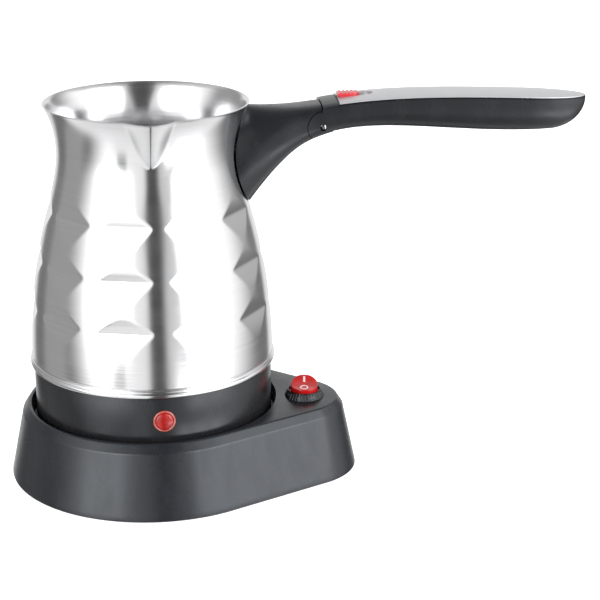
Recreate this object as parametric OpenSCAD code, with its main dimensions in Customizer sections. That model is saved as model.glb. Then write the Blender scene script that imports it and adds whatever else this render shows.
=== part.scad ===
// Electric turkish coffee maker: steel pot with a folding handle on a cordless power base.
// Millimetres, +Z up. The origin is on the pot's axis, on the table. The handle points
// along +X and the pouring spout along -Y.

/* [Base] */
// How far the base's round end stands out beyond the pot's housing, at the table
base_spread = 11.3; // [10.5:0.1:15]
// Radius of the base's small end at the table
base_tail_r = 27.4; // [25:0.1:30]
// Distance from the centre of the small end out to the switch
switch_ahead = 5.8; // [4:0.1:7]
// Turn of the base's long axis against the handle, degrees
base_turn = -7; // [-12:1:6]
// Height of the base's top face above the table
base_top = 30.1; // [28:0.1:33]
// How far the side leans in between the table and the shoulder
base_draft = 5.5; // [4:0.1:6]
// Height of the slanted shoulder
shoulder_h = 3.6; // [2:0.1:5]
// How far the shoulder leans in
shoulder_in = 2.4; // [1:0.1:2.6]
// Wall of the base moulding
base_wall = 2.2; // [1.8:0.1:2.6]
// Gap between the moulding's lower edge and the table
skirt_lift = 0.3; // [0.2:0.1:1.2]
// Depth of the well that the pot stands in
well_depth = 7.5; // [6:0.1:9]
// Running gap between the pot's housing and the side of the well
well_gap = 1.8; // [1:0.1:2]
// Thickness of the bottom cover
cover_t = 2.2; // [1.8:0.1:2.6]
// Height of the rubber feet below the cover
foot_h = 2.0; // [1.5:0.1:2.5]
// Radius of a rubber foot
foot_r = 5; // [4:0.1:5.5]

/* [Pot] */
// How far the wall's foot stands out beyond the housing
pot_foot_lip = 0.7; // [0.3:0.1:1.2]
// Radius of the neck at its narrowest
neck_r = 36; // [34.5:0.1:37.5]
// Radius of the mouth at the rim
rim_r = 40.8; // [40:0.1:42.5]
// Height of the steel wall from the trim ring to the rim
pot_h = 103.4; // [101:0.1:108]
// Height of the flare above the narrowest place
flare_h = 19.3; // [17:0.1:21]
// Thickness of the steel wall
pot_wall = 0.8; // [0.6:0.1:1]
// Angle of the spout, degrees
spout_angle = -90; // [-94:1:-86]
// Half of the angle that the spout takes at the rim
spout_half = 14.4; // [13:0.1:17]
// How far the spout's lip stands out of the rim
spout_reach = 6.2; // [4:0.1:8]
// Height of the spout's crease below the rim
spout_drop = 18.6; // [15:0.1:22]

/* [Embossed facets] */
// Number of facets round the pot
facet_columns = 10; // [9:1:11]
// Number of rows
facet_rows = 3; // [1:1:3]
// Height from one row to the next
facet_pitch = 19.8; // [18.5:0.1:21]
// Height of the top row's crease above the trim ring
facet_top = 62; // [60:0.1:64]
// How far the middle of a crease is pressed in
facet_depth = 1.3; // [0.6:0.1:1.4]
// Height of a facet above its crease
facet_up = 7; // [6:0.1:8]
// Height of a facet below its crease
facet_down = 10.4; // [9:0.1:10.5]

/* [Bottom housing] */
// Radius of the black housing under the pot
housing_r = 48.5; // [47.8:0.1:49]
// Height of the housing
housing_h = 25; // [23:0.1:27]
// Wall of the housing
housing_wall = 2.3; // [2:0.1:2.8]
// Floor of the housing
housing_floor = 2.6; // [2.2:0.1:3]
// How far the bright trim ring stands out beyond the housing
trim_lip = 1.5; // [1.2:0.1:1.7]
// Height of the trim ring
trim_h = 3; // [2.5:0.1:3.5]
// Gap between housing and well floor
seat_gap = 0.3; // [0.2:0.05:0.5]
// Angle of the indicator, degrees
indicator_angle = -87.5; // [-100:0.5:-80]
// Radius of the indicator's rim
indicator_r = 4.4; // [3.8:0.1:5]
// Height of the indicator above the housing's lower edge
indicator_z = 15.3; // [14:0.1:16.5]

/* [Heater] */
// Gap between the heating plate and the housing's wall
plate_gap = 3.2; // [2.8:0.1:5]
// Thickness of the heating plate
plate_t = 3; // [2.5:0.1:3.5]
// Distance of the element's bent ring from the edge of the plate
element_in = 11; // [10.5:0.5:13]
// Radius of the element's tube
element_tube_r = 3.2; // [2.8:0.1:3.5]
// Radius of a stud, which stands flush with the edge of the plate
stud_r = 3; // [2.6:0.1:3.2]

/* [Connector] */
// Radius of the plug that stands in the well
plug_r = 13; // [12:0.1:14]
// Height of the plug above the well floor
plug_h = 10.6; // [9:0.1:12]
// Gap between plug and socket
plug_gap = 0.6; // [0.4:0.05:0.8]
// Wall of the socket
socket_wall = 2.4; // [2:0.1:3]

/* [Switch] */
// Distance of the switch from the side of the well
switch_out = 12; // [11.5:0.1:12.7]
// Radius of the collar at its foot
collar_r = 8.1; // [7.8:0.1:8.6]
// Radius of the collar at its top
collar_top_r = 6.8; // [6.7:0.05:7.1]
// Height of the collar above the base
collar_h = 2.9; // [2.4:0.1:3.4]
// Radius of the round opening for the rocker
opening_r = 6.4; // [6.35:0.05:6.5]
// Radius of the rocker
rocker_r = 5.6; // [5.3:0.05:5.65]
// Height of the rocker's face above its pivot
rocker_h = 4.8; // [4:0.1:5.2]
// Tilt of the rocker to either side, degrees
rocker_tilt = 16; // [10:1:16]
// Height of the pivot above the base's top face
pivot_h = 1.4; // [1.3:0.05:1.6]
// Radius of the trunnions
trunnion_r = 0.9; // [0.7:0.05:1]

/* [Handle] */
// Distance of the hinge pin from the pot's axis
pin_x = 69.2; // [68:0.1:71]
// Height of the hinge pin below the rim
pin_drop = 10.6; // [10:0.1:11.4]
// Radius of the hinge pin
pin_r = 1.2; // [1:0.05:1.5]
// Running clearance round the pin and the trunnions
run_gap = 0.05; // [0.03:0.01:0.08]
// Radius of the grip's hinge ears
ear_r = 6.2; // [5.9:0.1:6.4]
// Radius of the root's middle knuckle
knuckle_r = 5.2; // [4.8:0.1:5.4]
// Half of the knuckle's width
knuckle_y = 5.4; // [5:0.1:5.8]
// Gap left round the ears and at the joint's faces
joint_gap = 0.3; // [0.2:0.05:0.4]
// Distance from the pin to the grip's tip
grip_l = 108.3; // [100:0.1:116]
// Half of the grip's width
grip_w = 10.5; // [9.8:0.1:11.2]
// Wall of the grip's lower shell
grip_wall = 2.2; // [1.8:0.1:2.6]
// Thickness of the top cover at its edge
top_cover_t = 0.7; // [0.6:0.05:1]
// Crown of the top cover above its edge
top_cover_crown = 1.0; // [0.6:0.1:1.4]
// Half of the root's width on the pot
root_w = 13.3; // [12:0.1:14.5]

/* [Latch] */
// Travel of the latch
latch_travel = 5; // [4:0.1:5.2]
// Length of the red slide
slider_l = 8.9; // [8:0.1:9.5]
// Half of the slide's width
slider_w = 3.1; // [2.8:0.1:4]
// How deep the slide's seat is let into the cover at its back end
slide_seat = 0.9; // [0.4:0.1:1]
// How far the bolt enters the keeper
bolt_bite = 1.5; // [1:0.1:1.8]
// Thickness of the bolt
bolt_t = 1.2; // [1:0.05:1.3]
// Half of the bolt's width
bolt_w = 2.6; // [2.2:0.1:3]
// Clearance round the bolt
bolt_gap = 0.3; // [0.2:0.05:0.4]

/* [Hidden] */
$fn = 72;

charcoal = "#2c2d2f";
black = "#1c1c1e";
steel = "#c4c6c8";
bright = "#e2e4e6";
aluminium = "#b4b6b8";
silver_grey = "#c3c5cb";
red = "#d8262c";
lens_red = "#a81410";
brass = "#c9a24a";
ceramic = "#e9e4d8";
rubber = "#3a3a3c";

eps = 0.01;

// ---- Heights, from the table up ----
well_z = base_top - well_depth;
housing_z = well_z + seat_gap;
trim_z = housing_z + housing_h;
foot_z = trim_z + trim_h;
rim_z = foot_z + pot_h;
neck_z = rim_z - flare_h;
shoulder_z = base_top - shoulder_h;
cover_top = foot_h + cover_t;
pivot_z = base_top + pivot_h;
collar_z = base_top + collar_h;
panel_z = base_top - base_wall;
plate_z = foot_z - plate_t;

// ---- Radii and places, from the housing outwards and inwards ----
spigot_r = housing_r - 1;
trim_r = housing_r + trim_lip;
pot_foot_r = housing_r + pot_foot_lip;
well_r = housing_r + well_gap;
base_r = housing_r + base_spread;
switch_x = well_r + switch_out;
base_tail_x = switch_x - switch_ahead;
plate_r = spigot_r - housing_wall - plate_gap;
element_ring_r = plate_r - element_in;
stud_circle_r = plate_r - stud_r;

// ---- General shapes ----

// Closed solid through a stack of rings that all have the same number of points
module skin(rings) {
    n = len(rings[0]);
    last = (len(rings) - 1) * n;
    polyhedron(
        points = [for (ring = rings) each ring],
        faces = concat(
            [[for (i = [0:n - 1]) i]],
            [[for (i = [n - 1:-1:0]) last + i]],
            [for (k = [0:len(rings) - 2], i = [0:n - 1])
                let (a = k * n + i, b = k * n + (i + 1) % n)
                each [[a, a + n, b + n], [a, b + n, b]]]));
}

// Point at t on the cubic curve with the four given handles
function curve_point(h, t) =
    pow(1 - t, 3) * h[0] + 3 * t * pow(1 - t, 2) * h[1]
    + 3 * t * t * (1 - t) * h[2] + pow(t, 3) * h[3];

// The curve as pairs for lookup()
function curve_table(h, steps = 24) = [for (i = [0:steps]) curve_point(h, i / steps)];

// Angle brought into -180 to 180
function wrapped(a) = ((a % 360) + 540) % 360 - 180;

// x to the power p, keeping its sign
function signed_pow(x, p) = sign(x) * pow(abs(x), p);

// Upright cylinder from z0 to z1
module post(r, z0, z1) {
    translate([0, 0, z0]) cylinder(r = r, h = z1 - z0);
}

// Upright tube from z0 to z1
module tube(outer, inner, z0, z1) {
    difference() {
        post(outer, z0, z1);
        post(inner, z0 - 1, z1 + 1);
    }
}

// Cylinder along Y from y0 to y1 through the hinge pin's axis
module across(r, y0, y1) {
    translate([pin_x, y1, pin_z]) rotate([90, 0, 0]) cylinder(r = r, h = y1 - y0);
}

// Round headed screw whose head rests at z and whose shank points up
module screw_up(head_r, head_h, shank_r, shank_l) {
    post(head_r, -head_h, 0);
    post(shank_r, -eps, shank_l);
}

// ---- Base ----

side_screw = (base_r - 12.9) * [cos(50), sin(50)];
back_screw_x = 15.8 - base_r;
boss_r = 3.2;
nut_r = 9.2;
nut_t = 3;
nut_flat = nut_r * cos(30);
tail_screw_x = switch_x + nut_flat + boss_r + 0.35;
screw_shank_r = 1.4;
screw_head_r = 2.8;
screw_head_h = 1.2;
base_screw_places = [[back_screw_x, 0], side_screw, [side_screw.x, -side_screw.y],
    [tail_screw_x, 0]];
foot_back = (base_r - 11.7) * cos(45);
foot_front = [base_tail_x + 1.5, base_tail_r - 10.4];
// the foot in the middle takes the push when the pot is set down on its plug
foot_places = [[0, 0], [-foot_back, foot_back], [-foot_back, -foot_back],
    foot_front, [foot_front.x, -foot_front.y]];
switch_tube_r = 7;
switch_body_top = base_top - 8;
blade_z = switch_body_top - 15;
gland_r = 5;
gland_z = cover_top + gland_r + 1.4;
gland_bore_r = 3.2;
lead_r = 1.1;
connector_flange_r = 18;
connector_flange_t = 3;
connector_z = well_z - base_wall - connector_flange_t;
socket_slot_in = 7.6;
socket_slot_out = 10;
centre_bore_r = 3.2;

// Outline round the big and the small end, both smaller by inset
function egg(inset, z, n = 36) =
    let (
        big = base_r - inset,
        small = base_tail_r - inset,
        lean = acos((big - small) / base_tail_x))
    concat(
        [for (i = [0:n]) let (a = lean + (360 - 2 * lean) * i / n)
            [big * cos(a), big * sin(a), z]],
        [for (i = [0:n / 2]) let (a = -lean + 2 * lean * i / (n / 2))
            [base_tail_x + small * cos(a), small * sin(a), z]]);

// How far the outside leans in at height z, below the shoulder
function draft_at(z) = base_draft * (z - skirt_lift) / (shoulder_z - skirt_lift);

module base_place() {
    rotate([0, 0, base_turn]) children();
}

// Side, slanted shoulder and its small top edge
module base_outside() {
    skin([
        egg(0, skirt_lift),
        egg(base_draft, shoulder_z),
        egg(base_draft + 0.65 * shoulder_in, shoulder_z + 0.8 * shoulder_h),
        egg(base_draft + shoulder_in, base_top)]);
}

// Space under the moulding between two heights
module base_inside(z0, z1) {
    skin([egg(base_wall + draft_at(z0), z0), egg(base_wall + draft_at(z1), z1)]);
}

module base_shell() color(charcoal) base_place() {
    ledge_z = well_z - base_wall;
    difference() {
        union() {
            difference() {
                base_outside();
                // hollow below the well, and up to the switch's panel in the small end
                difference() {
                    base_inside(skirt_lift - 1, min(panel_z, shoulder_z));
                    post(well_r + base_wall, ledge_z, base_top);
                    translate([-base_r, -base_r, ledge_z])
                        cube([base_r + switch_x - 2 * collar_r, 2 * base_r, base_top]);
                }
                translate([switch_x, 0, 0]) post(nut_r + 0.4, ledge_z, panel_z);
            }
            for (p = base_screw_places) translate(p)
                post(boss_r, cover_top, p.x > base_tail_x ? panel_z + 1 : ledge_z + 1);
        }
        post(well_r, well_z, base_top + 1);
        post(plug_r + joint_gap, ledge_z - 1, well_z + 1);
        translate([switch_x, 0, 0]) post(switch_tube_r + 0.15, ledge_z, base_top + 1);
        for (p = base_screw_places) translate(p)
            post(screw_shank_r + run_gap, cover_top - 1, cover_top + 9);
        gland_axis() post(gland_r + 0.1, -12, 12);
    }
}

module base_bottom_cover() color(black) base_place() {
    rib_r = connector_flange_r - 1;
    difference() {
        union() {
            translate([0, 0, foot_h]) linear_extrude(cover_t)
                polygon([for (p = egg(base_wall + draft_at(cover_top) + 0.4, 0)) [p.x, p.y]]);
            tube(rib_r, rib_r - 2, foot_h + 1, connector_z);
        }
        for (p = foot_places) translate(p) post(foot_r + 0.1, foot_h - 1, foot_h + 0.6);
        for (p = base_screw_places) translate(p) {
            post(screw_shank_r + 0.2, 0, cover_top + 1);
            post(screw_head_r + 0.3, 0, foot_h + screw_head_h);
        }
        // way for the leads through the rib
        translate([0, -3, cover_top]) cube([rib_r + 2, 6, 4]);
    }
}

module base_feet() color(rubber) base_place() {
    for (p = foot_places) translate(p) {
        cylinder(r1 = foot_r - 0.5, r2 = foot_r, h = 1);
        post(foot_r, 1, foot_h + 0.6);
    }
}

module base_screws() color(bright) base_place() {
    for (p = base_screw_places) translate([p.x, p.y, foot_h + screw_head_h])
        screw_up(screw_head_r, screw_head_h, screw_shank_r, 9);
}

module base_connector() color(black) base_place() {
    top = well_z + plug_h;
    difference() {
        union() {
            post(connector_flange_r, connector_z, well_z - base_wall);
            post(plug_r, connector_z, top - 1);
            translate([0, 0, top - 1]) cylinder(r1 = plug_r, r2 = plug_r - 1, h = 1);
        }
        post(centre_bore_r, connector_z - 1, top + 1);
        tube(socket_slot_out, socket_slot_in, well_z, top + 1);
        for (a = [90, 210, 330]) rotate([0, 0, a])
            translate([(socket_slot_in + socket_slot_out) / 2, 0, 0])
                post(0.9, connector_z - 1, well_z + 1);
    }
}

pin_centre_r = 2.2;
ring_blade_in = 8.2;
ring_blade_out = 9.2;

module base_contacts() color(brass) base_place() {
    // sleeve for the centre pin and its solder tail
    tube(centre_bore_r - 0.05, pin_centre_r + 0.1, connector_z, well_z + plug_h - 1);
    // three spring fingers of the ring contact, with their tails
    for (a = [90, 210, 330]) rotate([0, 0, a]) {
        rotate([0, 0, -20]) rotate_extrude(angle = 40)
            translate([ring_blade_out + 0.15, well_z + 0.2]) square([0.5, plug_h - 2]);
        translate([(socket_slot_in + socket_slot_out) / 2, 0, 0])
            post(0.85, connector_z - 5, well_z);
    }
}

// ---- Rocker switch ----

module switch_place() {
    base_place() translate([switch_x, 0, 0]) children();
}

module switch_bezel() color(black) switch_place() {
    ribs = 36;
    proud = 0.3;
    low_r = collar_r - proud;
    lean = atan((low_r - collar_top_r) / collar_h);
    difference() {
        union() {
            translate([0, 0, base_top]) cylinder(r1 = low_r, r2 = collar_top_r, h = collar_h);
            for (i = [0:ribs - 1]) rotate([0, 0, 360 * (i + 0.5) / ribs])
                translate([low_r, 0, base_top]) rotate([0, -lean, 0])
                    translate([-0.2, -0.3, 0.15]) cube([0.2 + proud, 0.6, collar_h - 0.6]);
            post(switch_tube_r, switch_body_top, base_top + 1);
        }
        post(opening_r, base_top - 9, collar_z + 1);
        rocker_axis() cylinder(r = trunnion_r + run_gap, h = 2 * collar_top_r, center = true);
    }
}

// Turns a cylinder from Z to the rocker's pivot axis
module rocker_axis() {
    translate([0, 0, pivot_z]) rotate([0, 90, 0]) children();
}

module switch_body() color(black) switch_place() {
    top = switch_body_top;
    difference() {
        post(switch_tube_r, top - 10, top);
        post(opening_r, top - 3, top + 1);
        for (x = [-4, 0, 4]) translate([x - 0.45, -2.45, top - 11]) cube([0.9, 4.9, 5]);
    }
}

module switch_terminals() color(brass) switch_place() {
    blade = [0.8, 4.8, 9];
    for (x = [-4, 0, 4]) translate([x, 0, blade_z]) difference() {
        translate([-blade.x / 2, -blade.y / 2, 0]) cube(blade);
        translate([-blade.x, 0, 2]) rotate([0, 90, 0]) cylinder(r = 0.8, h = 2 * blade.x);
    }
}

module switch_nut() color(black) switch_place() {
    difference() {
        translate([0, 0, panel_z - nut_t]) rotate([0, 0, 30])
            cylinder(r = nut_r, h = nut_t, $fn = 6);
        post(switch_tube_r + 0.1, panel_z - nut_t - 1, panel_z + 1);
    }
}

module switch_rocker() color(red) switch_place() translate([0, 0, pivot_z])
    rotate([rocker_tilt, 0, 0]) {
        difference() {
            post(rocker_r, -2.4, rocker_h);
            // shallow dish for the finger, along the pivot
            translate([0, 0, rocker_h + 17.3]) rotate([0, 90, 0])
                cylinder(r = 18, h = 4 * rocker_r, center = true);
            post(rocker_r - 1.2, -3, 1);
        }
        rotate([0, 90, 0])
            cylinder(r = trunnion_r, h = 2 * (collar_top_r - 0.15), center = true);
    }

// ---- Cord gland and inner leads ----

gland_lean = atan(base_draft / (shoulder_z - skirt_lift));

// Z runs out through the back wall, square to it, from its outer surface
module gland_axis() {
    translate([0, base_r - draft_at(gland_z), gland_z]) rotate([gland_lean - 90, 0, 0])
        children();
}

module cord_gland() color(black) base_place() gland_axis() difference() {
    union() {
        post(gland_r + 1.4, 0.1, 1.4);
        post(gland_r, -5, 0.2);
    }
    post(gland_bore_r, -6, 3);
}

module base_leads() color("#b03030") base_place() {
    lead_z = cover_top + 1.4;
    for (s = [-1, 1]) {
        translate([9, s * 1.5, lead_z]) rotate([0, 90, 0])
            cylinder(r = lead_r, h = switch_x - 9 + s * 4);
        translate([9, s * 1.5, lead_z]) sphere(r = lead_r, $fn = 24);
        translate([9, s * 1.5, lead_z]) cylinder(r = lead_r, h = connector_z - lead_z);
        translate([switch_x + s * 4, s * 1.5, lead_z]) sphere(r = lead_r, $fn = 24);
        translate([switch_x + s * 4, s * 1.5, lead_z])
            cylinder(r = lead_r, h = blade_z - lead_z);
    }
}

// ---- Pot ----

belly = curve_table([[foot_z, pot_foot_r], [foot_z + 49, pot_foot_r - 0.8],
    [neck_z - 17.5, neck_r], [neck_z, neck_r]]);
flare = curve_table([[neck_z, neck_r], [neck_z + 9, neck_r], [rim_z - 3.3, rim_r - 2.2],
    [rim_z, rim_r]]);

// Radius of the plain wall at height z
function wall_r(z) = z < neck_z ? lookup(z, belly) : lookup(z, flare);

facet_span = 360 / facet_columns;
facet_turn = facet_span * 5 / 8;
wall_steps = 8 * facet_columns;
handle_seat_half = 20;
// with a depth that grows with this power the outline of a facet is nearly straight
facet_taper = 1.8;
crease_heights = [for (k = [0:facet_rows - 1]) foot_z + facet_top - k * facet_pitch];

// Angle of the facet nearest to a
function facet_angle(a) = let (q = a - spout_angle - facet_turn)
    spout_angle + facet_turn + facet_span * round(q / facet_span);

// The top row leaves the handle's seat plain
function on_seat(a, crease) =
    crease == crease_heights[0] && abs(wrapped(facet_angle(a))) < handle_seat_half;

// Radius of one facet: flat across, widest at its crease and running out to a point at
// both ends
function facet_r(a, z, crease) =
    let (share = 1 - abs(z - crease) / (z > crease ? facet_up : facet_down))
    share < 0 || on_seat(a, crease) ? 2 * base_r
        : (wall_r(z) - facet_depth * pow(share, facet_taper)) / cos(a - facet_angle(a));

// Radius of the wall with its facets pressed in
function pressed_r(a, z) = min(wall_r(z), min([for (c = crease_heights) facet_r(a, z, c)]));

// How much of the spout's reach applies at this angle and height
function spout_share(a, z) =
    let (
        rise = (z - rim_z + spout_drop) / spout_drop,
        off = rise > 0 ? abs(wrapped(a - spout_angle)) / (spout_half * rise) : 1)
    rise > 0 && off < 1 ? pow(rise, 1.2) * (1 - off) : 0;

function wall_point(a, z, inset) =
    let (r = pressed_r(a, z) + spout_reach * spout_share(a, z) - inset)
    [r * cos(a), r * sin(a), z];

function wall_ring(z, inset, high = undef) = [for (i = [0:wall_steps - 1])
    let (p = wall_point(spout_angle + 360 * i / wall_steps, z, inset))
    [p.x, p.y, is_undef(high) ? z : high]];

neck_heights = [for (k = [0:10]) neck_z - 7 + (rim_z - neck_z + 7) * k / 10];
row_heights = [for (k = [facet_rows - 1:-1:0], d = [-facet_down, -facet_down / 2, 0,
    facet_up / 2, facet_up]) crease_heights[k] + d];
inner_row_heights = [for (k = [facet_rows - 1:-1:0], d = [-facet_down, 0, facet_up])
    crease_heights[k] + d];

module pot_body() color(steel) {
    outer = concat([foot_z], row_heights, neck_heights);
    inner = concat([foot_z + pot_wall], inner_row_heights, neck_heights);
    skin(concat(
        [for (z = outer) wall_ring(z, 0)],
        [for (k = [len(inner) - 1:-1:0]) wall_ring(inner[k], pot_wall)]));
}

// Everything inside the wall's outer surface, larger by gap
module pot_envelope(gap) {
    low = foot_z + 40;
    rotate_extrude() polygon(concat(
        [[0, low], [wall_r(low) + gap, low]],
        [for (z = [low + 8:4:neck_z - 3]) [wall_r(z) + gap, z]],
        [for (k = [0:8]) let (z = neck_z + flare_h * k / 8) [wall_r(z) + gap, z]],
        [[rim_r + gap + 0.4, rim_z + 4], [0, rim_z + 4]]));
}

module trim_ring() color(bright) rotate_extrude() polygon([
    [spigot_r + 0.1, trim_z], [trim_r - 0.6, trim_z], [trim_r, trim_z + 0.6],
    [trim_r, trim_z + trim_h - 0.6], [trim_r - 0.6, foot_z], [spigot_r + 0.1, foot_z]]);

// ---- Heater and what hangs under the vessel's floor ----

element_z = plate_z - element_tube_r - 0.02;
element_gap_half = 25;
element_leg = 12;
stud_angles = [90, 210, 330];
socket_r = plug_r + plug_gap + socket_wall;
socket_top = well_z + plug_h + 3.6;

module heating_plate() color(aluminium) rotate_extrude() polygon([
    [0, plate_z], [plate_r - 0.8, plate_z], [plate_r, plate_z + 0.8], [plate_r, foot_z],
    [0, foot_z]]);

module heating_element() color("#8d8f92") {
    rotate([0, 0, element_gap_half]) rotate_extrude(angle = 360 - 2 * element_gap_half)
        translate([element_ring_r, element_z]) circle(r = element_tube_r);
    for (s = [-1, 1]) rotate([0, 0, s * element_gap_half]) translate([element_ring_r, 0, 0]) {
        translate([0, 0, element_z]) sphere(r = element_tube_r);
        post(element_tube_r, element_z - element_leg, element_z);
    }
}

module element_terminals() color(ceramic)
    for (s = [-1, 1]) rotate([0, 0, s * element_gap_half])
        translate([element_ring_r, 0, element_z - element_leg]) {
            post(element_tube_r - 0.6, -1.6, 0);
            post(0.9, -5, -1.5);
        }

module thermostat() color(bright) {
    post(8, plate_z - 4.5, plate_z);
    post(5.5, plate_z - 8, plate_z - 4.4);
    for (s = [-1, 1]) translate([s * 3 - 0.4, -1.6, plate_z - 11]) cube([0.8, 3.2, 3.1]);
}

module thermal_fuse() color(ceramic) translate([-19, 0, plate_z - 2.52]) {
    rotate([90, 0, 0]) cylinder(r = 2, h = 12, center = true);
    // clip that holds the fuse to the plate
    difference() {
        translate([-3.5, -2, -1]) cube([7, 4, 3.52]);
        rotate([90, 0, 0]) cylinder(r = 2, h = 20, center = true);
    }
}

module mounting_studs() color(bright) for (a = stud_angles) rotate([0, 0, a])
    translate([stud_circle_r, 0, 0]) difference() {
        post(stud_r, housing_z + housing_floor, plate_z);
        post(screw_shank_r + run_gap, housing_z + housing_floor - 1,
            housing_z + housing_floor + 9);
    }

module housing_outline() {
    bevel = 1.2;
    step = 0.8;
    polygon([
        [0, housing_z], [housing_r - bevel, housing_z], [housing_r, housing_z + bevel],
        [housing_r, trim_z], [spigot_r, trim_z], [spigot_r, foot_z - step / 4],
        [spigot_r - housing_wall, foot_z - step / 4],
        [spigot_r - housing_wall, housing_z + housing_floor],
        [0, housing_z + housing_floor]]);
}

module pot_base_housing() color(charcoal) difference() {
    rotate_extrude() housing_outline();
    post(plug_r + plug_gap, housing_z - 1, housing_z + housing_floor + 1);
    for (a = stud_angles) rotate([0, 0, a]) translate([stud_circle_r, 0, 0]) {
        post(screw_shank_r + 0.2, housing_z - 1, housing_z + housing_floor + 1);
        post(screw_head_r + 0.3, housing_z - 1, housing_z + screw_head_h + 0.2);
    }
    indicator_axis() post(indicator_r - 0.8, -8, 4);
}

module housing_screws() color(bright) for (a = stud_angles) rotate([0, 0, a])
    translate([stud_circle_r, 0, housing_z + screw_head_h + 0.2])
        screw_up(screw_head_r, screw_head_h, screw_shank_r, 9);

module pot_connector() color(black) difference() {
    union() {
        post(socket_r, housing_z + housing_floor, socket_top);
        post(socket_r + 3, housing_z + housing_floor, housing_z + housing_floor + 2);
    }
    post(plug_r + plug_gap, 0, socket_top - 3);
    post(pin_centre_r + 0.02, 0, socket_top + 1);
    tube(ring_blade_out + 0.02, ring_blade_in - 0.02, 0, socket_top - 1);
}

module connector_pins() color(brass) {
    post(pin_centre_r, well_z + 3, socket_top + 3);
    tube(ring_blade_out, ring_blade_in, well_z + 3, socket_top - 1);
}

// Z runs out through the housing's wall at the indicator, from its outer surface
module indicator_axis() {
    rotate([0, 0, indicator_angle]) translate([housing_r, 0, housing_z + indicator_z])
        rotate([0, 90, 0]) children();
}

module indicator_lens() color(lens_red) indicator_axis() {
    shank_r = indicator_r - 0.9;
    rotate_extrude() polygon([
        [0, -4.5], [shank_r, -4.5], [shank_r, 0.05], [indicator_r, 0.05], [indicator_r, 0.5],
        [indicator_r - 0.5, 0.9], [indicator_r - 1.3, 0.9], [indicator_r - 2, 1.2],
        [0, 1.5]]);
}

module indicator_lamp() color(ceramic) indicator_axis() {
    post(2.6, -9, -4.8);
    for (s = [-1, 1]) translate([s * 1.2, 0, 0]) post(0.4, -14, -8.9);
}

// ---- Handle ----

pin_z = rim_z - pin_drop;
joint_x = pin_x - 0.3;
tip_x = pin_x + grip_l;
side_w = 10.2;
beyond = side_w + 6;
root_start = neck_r - 3;
root_screw_x = neck_r + 13;
root_screw_z = pin_z - 9.5;
root_screw_l = 5;

// How far back from the tip the grip starts to narrow, from below and from the sides
tip_low = 16;
tip_side = 25;

// Lower edge of the handle in side view, first under the root and then under the grip
root_bottom = curve_table([
    [neck_r - 2, pin_z - 40], [pin_x - 12.6, pin_z - 6.75], [pin_x - 7.8, pin_z - 6.1],
    [pin_x + 8, pin_z - 2]]);
grip_bottom = curve_table([
    [pin_x - 7.2, pin_z - 7.5], [pin_x + 14.8, pin_z + 5.3], [pin_x + 48.8, pin_z - 5.7],
    [tip_x - tip_low, pin_z - 4.4]]);
// Upper edge of the grip's side, where the cover lies on the shell
grip_seam = curve_table([
    [pin_x - 8, pin_z + 6.4], [pin_x + 22.8, pin_z + 13.1], [pin_x + 60.8, pin_z + 10.5],
    [tip_x, pin_z + 8.3]]);

// The root's top is as high as the grip's nose at both ends and sags by this between them
root_top_z = pin_z + 8.6;
root_sag = 1.1;

// One upright section across the handle, n points round a rounded box
function box_section(x, w, low, high, power, n = 24) =
    [for (i = [0:n - 1]) let (a = 360 * i / n)
        [x, w * signed_pow(cos(a), 2 / power),
         (low + high) / 2 + (high - low) / 2 * signed_pow(sin(a), 2 / power)]];

// Sections of the root: a tall oval on the pot, a rounded box at the hinge
function root_section(x) =
    let (
        t = min(1, max(0, (x - neck_r) / (joint_x - neck_r))),
        ease = t * t * (3 - 2 * t))
    box_section(x, root_w + (side_w - root_w) * ease, lookup(x, root_bottom),
        root_top_z - 4 * root_sag * t * (1 - t), 2 + 1.4 * ease);

module root_form(x0, x1, steps) {
    skin([for (i = [0:steps]) root_section(x0 + (x1 - x0) * i / steps)]);
}

// How full the grip still is towards its rounded tip, 1 to 0
function tip_share(x, run, tip) =
    x < tip - run ? 1 : sqrt(max(0, 1 - pow((x - tip + run) / run, 2)));

// Sections of the grip: flat on top, rounded below
function grip_section(x, inset, lift, tip, n = 16) =
    let (
        w = (grip_w - (grip_w - side_w) * max(0, 1 - (x - joint_x) / 20)) - inset,
        top = lookup(x, grip_seam),
        full = lookup(min(x, tip_x - tip_low), grip_bottom) + inset,
        low = top - (top - full) * tip_share(x, tip_low, tip))
    [for (i = [0:n]) let (a = 180 + 180 * i / n)
        [x, w * tip_share(x, tip_side, tip) * signed_pow(cos(a), 2 / 3.2),
         sin(a) > -eps ? top + lift : top - (top - low) * pow(-sin(a), 2 / 3)]];

// Stations along the grip, closer together at the rounded tip
function grip_stations(x0, tip) = concat(
    [for (i = [0:11]) x0 + (tip - tip_side - x0) * i / 12],
    [for (a = [0:10:80]) tip - tip_side + tip_side * sin(a)], [tip - 0.08]);

bracket_tab = [19, 10, 2];
bracket_tab_z = pin_z - 6.7;
channel_x0 = pin_x - 1;
carriage_x0 = pin_x + 7;
carriage_x1 = pin_x + 16.5;
channel_x1 = carriage_x1 + latch_travel + 5;
bolt_z = pin_z + 5.7;
slot_x1 = pin_x + 21;
slot_w = 2.4;
cover_x0 = pin_x + 6.4;
cavity_x0 = channel_x1 + 2.6;
grip_screw_x = [pin_x + 39, pin_x + 81];
grip_screw_l = 7;
post_r = 2.8;
washer_r = 3;

module handle_bracket() color(steel) {
    // plate bent round the neck
    intersection() {
        difference() {
            post(neck_r + 1.6, pin_z - 15.5, pin_z - 2.5);
            pot_envelope(0.15);
        }
        translate([0, -8, pin_z - 16]) cube([neck_r + 10, 16, 14]);
    }
    difference() {
        translate([neck_r + 1.2, -bracket_tab.y / 2, bracket_tab_z]) cube(bracket_tab);
        translate([root_screw_x, 0, 0])
            post(screw_shank_r + run_gap, bracket_tab_z - 1, bracket_tab_z + bracket_tab.z + 1);
    }
}

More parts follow.
